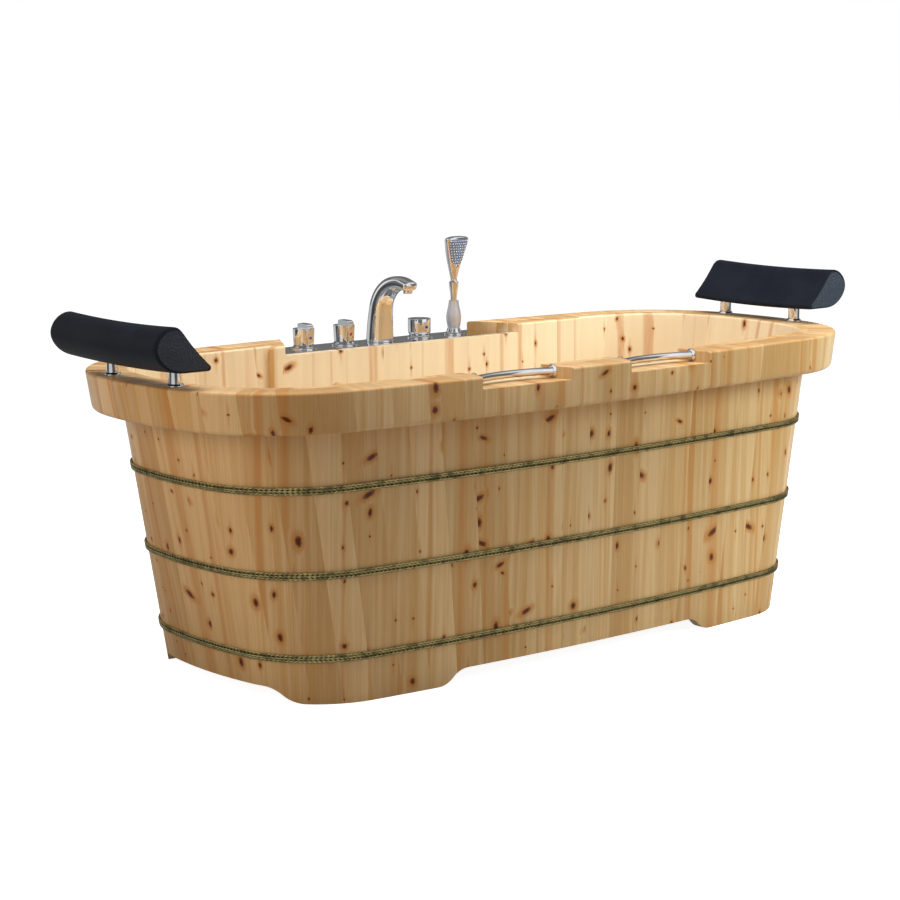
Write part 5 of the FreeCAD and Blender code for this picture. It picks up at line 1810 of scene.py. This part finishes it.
@dataclass
class HandShower(Assembly):
    """Cradle on the deck, and the hand shower with its satin grip and paddle-shaped head."""

    cradle_radius: float = 23.5 * MM
    cradle_lip: float = 2.6 * MM
    cradle_edge: float = 0.9 * MM
    cup_radius: float = 13.5 * MM
    cup_height: float = 13 * MM
    cup_flare: float = 2.5 * MM
    cup_step: float = 1.6 * MM
    shank_radius: float = 16 * MM
    connector_room: float = 9.5 * MM
    grip_foot: float = 11.5 * MM
    grip_radius: float = 16 * MM
    grip_neck: float = 10.5 * MM
    grip_belly: float = 26 * MM
    grip_edge: float = 0.8 * MM
    grip_edge_rise: float = 0.6 * MM
    grip_steps: int = 26
    waist: float = 6.6 * MM
    waist_rise: float = 42 * MM
    waist_steps: int = 12
    head_wide: float = 32 * MM
    head_deep: float = 11 * MM
    head_length: float = 95 * MM
    head_straight: float = 0.75
    head_square: float = 0.8
    deep_pace: float = 1.5
    square_pace: float = 2.0
    head_steps: int = 24
    head_sharp: float = 50.0
    crown: float = 9 * MM
    crown_stops: tuple[float, ...] = (0.2, 0.4, 0.6, 0.75, 0.87, 0.95, 0.99, 1.0)
    crown_power: float = 2.6
    crown_flat: float = 0.06
    face_low: float = 36 * MM
    face_high: float = 89 * MM
    face_border: float = 3.0 * MM
    face_power: float = 5.0
    face_proud: float = 0.5 * MM
    face_thickness: float = 2.0 * MM
    face_rounds: int = 12
    face_sides: int = 64
    face_sharp: float = 40.0
    lean: float = 11 * MM
    cap_below: float = 5 * MM
    cap_radius: float = 4.2 * MM
    cap_sink: float = 3 * MM
    cap_wall: float = 1.1 * MM
    cap_crown: float = 1.5 * MM
    cap_edge: float = 0.9 * MM
    cap_sides: int = 32
    nozzle_radius: float = 1.45 * MM
    nozzle_segments: int = 10
    nozzle_rings: int = 6
    nozzle_step: float = 5.6 * MM
    nozzle_low: float = 4 * MM
    nozzle_margin: float = 7 * MM
    nozzle_side: float = 2.4 * MM
    nozzle_corner: float = 0.72
    nozzle_draw_in: float = 0.9
    sides: int = 72

    def __post_init__(self) -> None:
        """Find the middle of the head's waist."""
        self.middle = seat("shower_grip")
        self.middle.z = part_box("shower_head")[0].z + self.waist_rise

    def cradle(self) -> None:
        """Turn the cradle with its cup and shank."""
        foot = seat("shower_cradle")
        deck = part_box("deck_plate")[1].z - foot.z
        lip, top = deck + self.cradle_lip, deck + self.cup_height
        line = rounded_line([
            (self.connector_room, 0.0), (self.shank_radius, 0.0), (self.shank_radius, deck),
            (self.cradle_radius, deck), (self.cradle_radius, lip),
            (self.cup_radius + self.cup_flare, lip + self.cup_step), (self.cup_radius, top),
            (self.connector_room, top),
        ], self.cradle_edge)
        place = Matrix.Translation(foot)
        self.turn("shower_cradle_turned", line + line[:1], place, Body.TUB, "shower_cradle")

    def grip(self) -> None:
        """Turn the bellied satin grip."""
        low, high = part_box("shower_grip")
        tall = high.z - low.z
        line = [(0.0, 0.0), (self.grip_foot - self.grip_edge, 0.0)]
        for step in range(self.grip_steps + 1):
            height = self.grip_edge_rise + (tall - self.grip_edge_rise) * step / self.grip_steps
            if height < self.grip_belly:
                swell = math.sin(math.pi / 2 * height / self.grip_belly)
                line.append((self.grip_foot + (self.grip_radius - self.grip_foot) * swell, height))
            else:
                slim = (1 - math.cos(math.pi * (height - self.grip_belly) / (tall - self.grip_belly))) / 2
                line.append((self.grip_radius + (self.grip_neck - self.grip_radius) * slim, height))
        line.append((0.0, tall))
        mesh = turned("shower_grip_turned", line, Matrix.Translation(seat("shower_grip")))
        self.dresser.piece("shower_grip_turned", mesh, Slot.SATIN, Body.SHOWER, "shower_grip")

    def head_section(self, rise: float) -> Triple:
        """Measure the head's section.

        Args:
            rise: Height over the waist, under 0 in the neck.

        Returns:
            Half its width, half its depth and its squareness.
        """
        if rise < 0:
            slim = (1 + math.cos(math.pi * (1 + rise / self.waist_rise))) / 2
            radius = self.grip_neck + (self.waist - self.grip_neck) * slim
            return radius, radius, 2.0
        share = rise / self.head_length
        swell = self.head_straight * share + (1 - self.head_straight) * eased(share)
        wide = self.waist + (self.head_wide - self.waist) * swell
        deep = self.waist + (self.head_deep - self.waist) * eased(share * self.deep_pace)
        return wide, deep, 2.0 + self.head_square * eased(share * self.square_pace)

    def nod(self, rise: float) -> float:
        """Return how far the head nods towards the bather at a height over its waist."""
        share = max(0.0, rise / self.head_length)
        return self.lean * share * share

    def on_front(self, across: float, rise: float, proud: float = 0.0) -> Vector:
        """Find a place on the head's front.

        Args:
            across: Place across the head.
            rise: Height over the waist.
            proud: Distance in front of the head's skin.

        Returns:
            The place.
        """
        wide, deep, power = self.head_section(rise)
        inside = max(0.0, 1 - (abs(across) / wide) ** power)
        out = deep * inside ** (1 / power) + self.nod(rise)
        return self.middle + Vector((across, -out - proud, rise))

    def face_spot(self, share: float, turn: float) -> Pair:
        """Find a place on the nozzle face.

        Args:
            share: 0 in its middle and 1 on its edge.
            turn: Direction from its middle.

        Returns:
            The place across the head and over its waist.
        """
        corner = 2 / self.face_power
        across = math.copysign(abs(math.cos(turn)) ** corner, math.cos(turn)) * share
        along = math.copysign(abs(math.sin(turn)) ** corner, math.sin(turn)) * share
        rise = (self.face_low + self.face_high) / 2 + along * (self.face_high - self.face_low) / 2
        return across * (self.head_section(rise)[0] - self.face_border), rise

    def head(self) -> None:
        """Loft the head from its neck over the waist to its flat crown."""
        rise, steps = self.waist_rise, self.waist_steps
        neck = [-rise + rise * step / steps for step in range(steps)]
        level = self.head_length - self.crown
        blade = [level * step / self.head_steps for step in range(self.head_steps + 1)]
        sections = [(rise, *self.head_section(rise)) for rise in neck + blade]
        wide, deep, power = self.head_section(level)
        for share in self.crown_stops:
            inside = max(0.0, 1 - share ** self.crown_power) ** (1 / self.crown_power)
            slim = self.crown_flat + (1 - self.crown_flat) * inside
            sections.append((level + self.crown * share, wide * slim, deep * slim, power))
        rings = []
        for rise, half_wide, half_deep, square in sections:
            ring = power_ring(half_wide, half_deep, square, self.sides)
            places = [Vector((across, back - self.nod(rise), rise)) for across, back in ring]
            rings.append([self.middle + place for place in places])
        bm = bmesh.new()
        skin(bm, rings)
        mesh = finish_mesh(bm, "shower_head_shell", self.head_sharp)
        self.dresser.piece("shower_head_shell", mesh, Slot.CHROME, Body.SHOWER, "shower_head")

    def face_layer(self, bm: Shape, proud: float) -> list[bmesh.types.BMVert]:
        """Add one side of the nozzle plate.

        Args:
            bm: The plate.
            proud: Distance in front of the head's skin.

        Returns:
            The points round its edge.
        """
        middle = bm.verts.new(self.on_front(*self.face_spot(0.0, 0.0), proud))
        rows = []
        for ring in range(1, self.face_rounds + 1):
            turns = [math.tau * side / self.face_sides for side in range(self.face_sides)]
            spots = [self.face_spot(ring / self.face_rounds, turn) for turn in turns]
            rows.append([bm.verts.new(self.on_front(*spot, proud)) for spot in spots])
        for side in range(self.face_sides):
            after = (side + 1) % self.face_sides
            bm.faces.new((middle, rows[0][side], rows[0][after]))
            for inner, outer in zip(rows, rows[1:]):
                bm.faces.new((inner[side], outer[side], outer[after], inner[after]))
        return rows[-1]

    def face(self) -> None:
        """Lay the nozzle plate on the head's front."""
        bm = bmesh.new()
        front = self.face_layer(bm, self.face_proud)
        back = self.face_layer(bm, -self.face_thickness)
        for side in range(self.face_sides):
            after = (side + 1) % self.face_sides
            bm.faces.new((front[side], back[side], back[after], front[after]))
        mesh = finish_mesh(bm, "shower_face_plate", self.face_sharp)
        self.dresser.piece("shower_face_plate", mesh, Slot.NOZZLE, Body.SHOWER, "shower_face")

    def cap(self) -> None:
        """Turn the small cap at the nozzle plate's lower tip."""
        radius, sink = self.cap_radius, -self.cap_sink
        line = [(0.0, sink), (radius, sink), (radius, self.cap_wall), (0.0, self.cap_crown)]
        place = self.on_front(0.0, self.face_low - self.cap_below)
        line = rounded_line(line, self.cap_edge)
        self.turn("shower_face_cap", line, forwards(place), Body.SHOWER, sides=self.cap_sides)

    def nozzle_tree(self, material: Material) -> Tree:
        """Build the tree that sets a small domed nozzle on every point.

        Args:
            material: The nozzles' finish.

        Returns:
            The node tree; its input is the nozzle's radius.
        """
        sheet, given, wanted = new_group(
            "spray_nozzles", GEOMETRY_TREE, {"Geometry": GEOMETRY, "Nozzle Radius": FLOAT},
            {"Geometry": GEOMETRY})
        ball = sheet.feed(
            sheet.node("GeometryNodeMeshUVSphere"), Segments=self.nozzle_segments, Rings=self.nozzle_rings,
            Radius=given["Nozzle Radius"])
        smooth = sheet.feed(sheet.node("GeometryNodeSetShadeSmooth"), ball)
        placed = sheet.feed(
            sheet.node("GeometryNodeInstanceOnPoints"), Points=given["Geometry"], Instance=smooth)
        end_tree(sheet, placed, material, wanted["Geometry"])
        return sheet.tree

    def nozzles(self) -> None:
        """Set rows of nozzles on the plate, drawn in at its corners."""
        spots = []
        tall = self.face_high - self.face_low
        rows = int((tall - self.nozzle_margin) / self.nozzle_step)
        for row in range(rows + 1):
            rise = self.face_low + self.nozzle_low + row * self.nozzle_step
            room = self.head_section(rise)[0] - self.face_border - self.nozzle_side
            count = max(1, int(2 * room / self.nozzle_step))
            edge = max(abs(2 * (rise - self.face_low) / tall - 1) - self.nozzle_corner, 0.0)
            for column in range(count + 1):
                across = (-room + 2 * room * column / count) * (1 - self.nozzle_draw_in * edge)
                spots.append(self.on_front(across, rise, self.face_proud))
        mesh = bpy.data.meshes.new("spray_nozzles")
        mesh.from_pydata(spots, [], [])
        tree = self.nozzle_tree(self.dresser.tip_material)
        mesh = noded(mesh, "spray_nozzles", tree, {"Nozzle Radius": self.nozzle_radius})
        self.dresser.piece("spray_nozzles", mesh, Slot.NOZZLE, Body.SHOWER)

    def build(self) -> None:
        """Make the cradle and the hand shower that stands in it."""
        for make in (self.cradle, self.grip, self.head, self.face, self.cap, self.nozzles):
            make()


@dataclass
class GrabRails(Assembly):
    """Two bowed grab rails with a round flange at each end."""

    nodes: tuple[str, ...] = ("left_grab_rail", "right_grab_rail")
    radius: float = 7 * MM
    flange_radius: float = 12.5 * MM
    flange_thickness: float = 5 * MM
    flange_wall: float = 0.35
    flange_throat: float = 1.6 * MM
    flange_edge: float = 1.1 * MM
    flange_sides: int = 48
    stations: int = 36
    sides: int = 32

    def centre_line(self, node: str) -> list[tuple[Vector, float]]:
        """Draw a rail's bow.

        Args:
            node: The rail's node.

        Returns:
            Points along it, with the way's turn from the X axis at each.
        """
        low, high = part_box(node)
        ends = seat("rail_flanges").y
        bow = max(high.y - self.radius - ends, low.y + self.radius - ends, key=abs)
        half, middle, level = (high.x - low.x) / 2, (high.x + low.x) / 2, (low.z + high.z) / 2
        sweep = 2 * math.atan(bow / half)
        reach = half / math.sin(sweep)
        line = []
        for step in range(self.stations + 1):
            turn = sweep * (2 * step / self.stations - 1)
            out = ends + reach * (math.cos(turn) - math.cos(sweep))
            line.append((Vector((middle + reach * math.sin(turn), out, level)), -turn))
        return line

    def build(self) -> None:
        """Bend both rails and turn their flanges."""
        flanges = bmesh.new()
        thick = self.flange_thickness
        flange = rounded_line([
            (0.0, 0.0), (self.flange_radius, 0.0), (self.flange_radius, self.flange_wall * thick),
            (self.radius + self.flange_throat, thick), (0.0, thick),
        ], self.flange_edge)
        for node in self.nodes:
            line = self.centre_line(node)
            rings = []
            for index, (place, turn) in enumerate(line):
                held = 0.0 if index in (0, len(line) - 1) else turn
                aside = Vector((-math.sin(held), math.cos(held), 0.0))
                ring = power_ring(self.radius, self.radius, 2.0, self.sides)
                rings.append([place + aside * across + Vector((0.0, 0.0, up)) for across, up in ring])
            bm = bmesh.new()
            skin(bm, rings)
            self.dresser.piece(node + "_bent", finish_mesh(bm, node + "_bent"), Slot.CHROME, Body.TUB, node)
            for (place, _), hand in ((line[0], 1.0), (line[-1], -1.0)):
                wall = Matrix.Translation(place - Vector((hand * thick, 0.0, 0.0)))
                lathe(flanges, flange, wall @ Matrix.Rotation(hand * math.pi / 2, 4, "Y"), self.flange_sides)
        mesh = finish_mesh(flanges, "rail_flanges_turned")
        self.dresser.piece("rail_flanges_turned", mesh, Slot.CHROME, Body.TUB, "rail_flanges")


@dataclass
class FloorWaste(Assembly):
    """Domed push plug of the floor waste."""

    foot_inset: float = 1.6 * MM
    belly_height: float = 0.3
    shoulder_inset: float = 1.2 * MM
    shoulder_height: float = 0.62
    crown_radius: float = 0.66
    crown_height: float = 0.93
    edge: float = 0.6 * MM
    sides: int = 72

    def build(self) -> None:
        """Turn the plug's cap."""
        node = "waste_plug"
        low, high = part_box(node)
        radius, tall = (high.x - low.x) / 2, high.z - low.z
        line = rounded_line([
            (0.0, 0.0), (radius - self.foot_inset, 0.0), (radius, self.belly_height * tall),
            (radius - self.shoulder_inset, self.shoulder_height * tall),
            (self.crown_radius * radius, self.crown_height * tall), (0.0, tall),
        ], self.edge)
        self.turn(node + "_domed", line, Matrix.Translation(seat(node)), Body.PLUG, node, sides=self.sides)


# Studio

WARM: Colour = (1.0, 0.84, 0.64)
COOL: Colour = (0.88, 1.0, 1.0)


@dataclass(frozen=True)
class Lamp:
    """A square soft lamp that looks at a point and doesn't show in mirrors."""

    name: str
    place: Triple
    aim: Triple
    size: float
    power: float
    colour: Colour = WHITE
    spread: float = 180.0

    def hang(self) -> None:
        """Put the lamp in the scene."""
        data = bpy.data.lights.new(self.name, "AREA")
        data.color = self.colour
        data.shape = "SQUARE"
        data.size = self.size
        data.energy = self.power
        data.spread = math.radians(self.spread)
        lamp = bpy.data.objects.new(self.name, data)
        lamp.visible_glossy = False
        place = Vector(self.place)
        looking = (Vector(self.aim) - place).to_track_quat("-Z", "Y").to_matrix().to_4x4()
        lamp.matrix_world = Matrix.Translation(place) @ looking
        show(lamp)


@dataclass
class Studio:
    """Camera, lamps, white surroundings and pale floor."""

    eye: Vector = Vector((-3.0743, -3.5082, 1.1390))
    yaw: float = 40.38
    pitch: float = 9.4
    lens: float = 94.99
    sensor: float = 36.0
    lamps: tuple[Lamp, ...] = (
        Lamp("top_light", (0.25, -0.1, 2.7), (0.0, 0.0, 0.35), 2.2, 77.0),
        Lamp("front_light", (1.9, -1.7, 1.3), (1.15, -0.2, 0.35), 1.2, 11.0, COOL, 75.0),
        Lamp("left_light", (-2.5, -0.1, 1.2), (-0.8, 0.0, 0.45), 1.2, 13.5, WARM),
    )
    room_front: float = 1.0
    room_back: float = 0.13
    panel_count: float = 4.0
    panel_turn: float = 0.6
    panel_shade: float = 0.10
    panel_from: float = -0.35
    panel_to: float = 0.15
    front_from: float = 0.3
    front_to: float = -0.4
    left_from: float = -0.1
    left_to: float = -0.6
    ceiling_front: float = 1.0
    ceiling_back: float = 0.32
    ceiling_from: float = 0.50
    ceiling_blend: float = 0.15
    zenith: float = 0.04
    zenith_from: float = 0.82
    zenith_blend: float = 0.1
    fill: float = 0.17
    floor_radius: float = 40.0
    floor_sides: int = 96
    floor_sink: float = 0.5 * MM
    floor_grey: float = 0.62
    floor_mirrored: float = 0.22
    floor_roughness: float = 0.9
    floor_glow: float = 0.93
    floor_under: float = 0.14
    floor_dark: float = 0.03
    floor_bright: float = 0.62
    floor_near: float = 1.4
    floor_far: float = 2.4

    def camera(self) -> None:
        """Stand the camera where the photograph was taken."""
        yaw, pitch = math.radians(self.yaw), math.radians(self.pitch)
        level = math.cos(pitch)
        forward = Vector((math.sin(yaw) * level, math.cos(yaw) * level, -math.sin(pitch)))
        right = Vector((math.cos(yaw), -math.sin(yaw), 0.0))
        up = right.cross(forward)
        data = bpy.data.cameras.new("camera")
        data.lens = self.lens
        data.sensor_width = self.sensor
        camera = bpy.data.objects.new("camera", data)
        looking = Matrix((right, up, -forward)).transposed().to_4x4()
        camera.matrix_world = Matrix.Translation(self.eye) @ looking
        show(camera)
        bpy.context.scene.camera = camera

    def seen_rays(self, sheet: NodeSheet, grey: Value) -> Socket:
        """Sort the rays that look at the surroundings.

        Args:
            sheet: The tree to add to.
            grey: Brightness for mirror and glass rays.

        Returns:
            1 for camera rays, the grey for mirror and glass rays, and 0 for all others.
        """
        rays = sheet.node("ShaderNodeLightPath").outputs
        mirrored = sheet.math("MAXIMUM", rays["Is Glossy Ray"], rays["Is Transmission Ray"])
        return sheet.math("MAXIMUM", rays["Is Camera Ray"], sheet.times(mirrored, grey))

    def panels(self, sheet: NodeSheet, way: Place, dark: float, bright: float) -> Socket:
        """Stand dark and bright panels round the tub, for mirrors to show.

        Args:
            sheet: The tree to add to.
            way: Direction from the tub.
            dark: Brightness of the dark panels.
            bright: Brightness of the bright panels.

        Returns:
            The brightness in that direction.
        """
        turn = sheet.times(sheet.math("ARCTAN2", way[1], way[0]), self.panel_count)
        wave = sheet.math("SINE", sheet.plus(turn, self.panel_turn))
        return sheet.step(wave, self.panel_from, self.panel_to, dark, bright)

    def world(self) -> None:
        """Give a white background, a panelled room for mirrors, darker behind the tub, and soft light."""
        world = bpy.data.worlds.new("studio")
        bpy.context.scene.world = world
        world.use_nodes = True
        sheet = NodeSheet(world.node_tree)
        background = world.node_tree.nodes["Background"]
        background.inputs["Color"].default_value = (*WHITE, 1.0)
        way = sheet.split(sheet.node("ShaderNodeTexCoord").outputs["Generated"])
        front = sheet.step(way[1], self.front_to, self.front_from, 1.0, 0.0)
        left = sheet.step(way[0], self.left_to, self.left_from, 1.0, 0.0)
        bright = sheet.math("MAXIMUM", front, left)
        room = sheet.step(bright, 0.0, 1.0, self.room_back, self.room_front)
        room = sheet.times(room, self.panels(sheet, way, self.panel_shade, 1.0))
        ceiling = sheet.step(bright, 0.0, 1.0, self.ceiling_back, self.ceiling_front)
        grey = sheet.step(way[2], self.ceiling_from, self.ceiling_from + self.ceiling_blend, room, ceiling)
        grey = sheet.step(way[2], self.zenith_from, self.zenith_from + self.zenith_blend, grey, self.zenith)
        strength = sheet.math("MAXIMUM", self.seen_rays(sheet, grey), self.fill)
        sheet.put(background.inputs["Strength"], strength)

    def floor_material(self) -> Material:
        """Make the pale floor's material.

        Returns:
            The material: white to the camera but for the tub's shadow, dark and panelled in mirrors.
        """
        material, sheet, shader = new_material("pale_floor")
        mirrored = sheet.node("ShaderNodeLightPath").outputs["Is Glossy Ray"]
        place = sheet.split(sheet.node("ShaderNodeTexCoord").outputs["Object"])
        distance = sheet.hypot(place[0], place[1])
        panels = self.panels(sheet, place, self.floor_dark, self.floor_bright)
        grey = sheet.step(distance, self.floor_near, self.floor_far, self.floor_under, panels)
        sheet.feed(shader, **{
            "Base Color": sheet.mix(mirrored, (self.floor_grey,) * 3, (self.floor_mirrored,) * 3),
            "Roughness": self.floor_roughness, "Specular IOR Level": 0.0, "Emission Color": (*WHITE, 1.0),
            "Emission Strength": sheet.times(self.seen_rays(sheet, grey), self.floor_glow),
        })
        return material

    def floor(self) -> None:
        """Lay a pale floor that keeps the shadow."""
        bm = bmesh.new()
        bmesh.ops.create_circle(bm, cap_ends=True, segments=self.floor_sides, radius=self.floor_radius)
        mesh = bpy.data.meshes.new("floor")
        bm.to_mesh(mesh)
        bm.free()
        mesh.materials.append(self.floor_material())
        floor = bpy.data.objects.new("floor", mesh)
        floor.location.z = -self.floor_sink
        show(floor)

    def build(self) -> None:
        """Set up the whole studio."""
        bpy.context.scene.view_settings.view_transform = "Standard"
        self.camera()
        self.world()
        self.floor()
        for lamp in self.lamps:
            lamp.hang()


PLAIN_NODES: dict[Slot, tuple[str, ...]] = {
    Slot.STEEL: ("floor_screws", "rail_screws", "post_studs"),
    Slot.CHROME: ("deck_plate", "hose_connector", "waste_body"),
    Slot.BRASS: (
        "cold_valve_body", "hot_valve_body", "diverter_valve_body", "cold_spindle", "hot_spindle",
        "diverter_spindle", "deck_nuts", "mixing_pipes", "waste_nut", "plug_stem",
    ),
    Slot.SEAL: ("deck_washers", "waste_seal"),
}


def main() -> None:
    """Build the studio and every sub-assembly in order."""
    logging.basicConfig(level=logging.INFO, format="%(message)s")
    Studio().build()
    dresser = Dresser(SharedEffects())
    for assembly in (
        WoodenShell, WireHoops, Headrests, BathFiller, Spout, HandShower, GrabRails, FloorWaste,
    ):
        assembly(dresser).build()
    for slot, names in PLAIN_NODES.items():
        for name in names:
            dresser.node(name, slot)


if __name__ == "__main__":
    main()
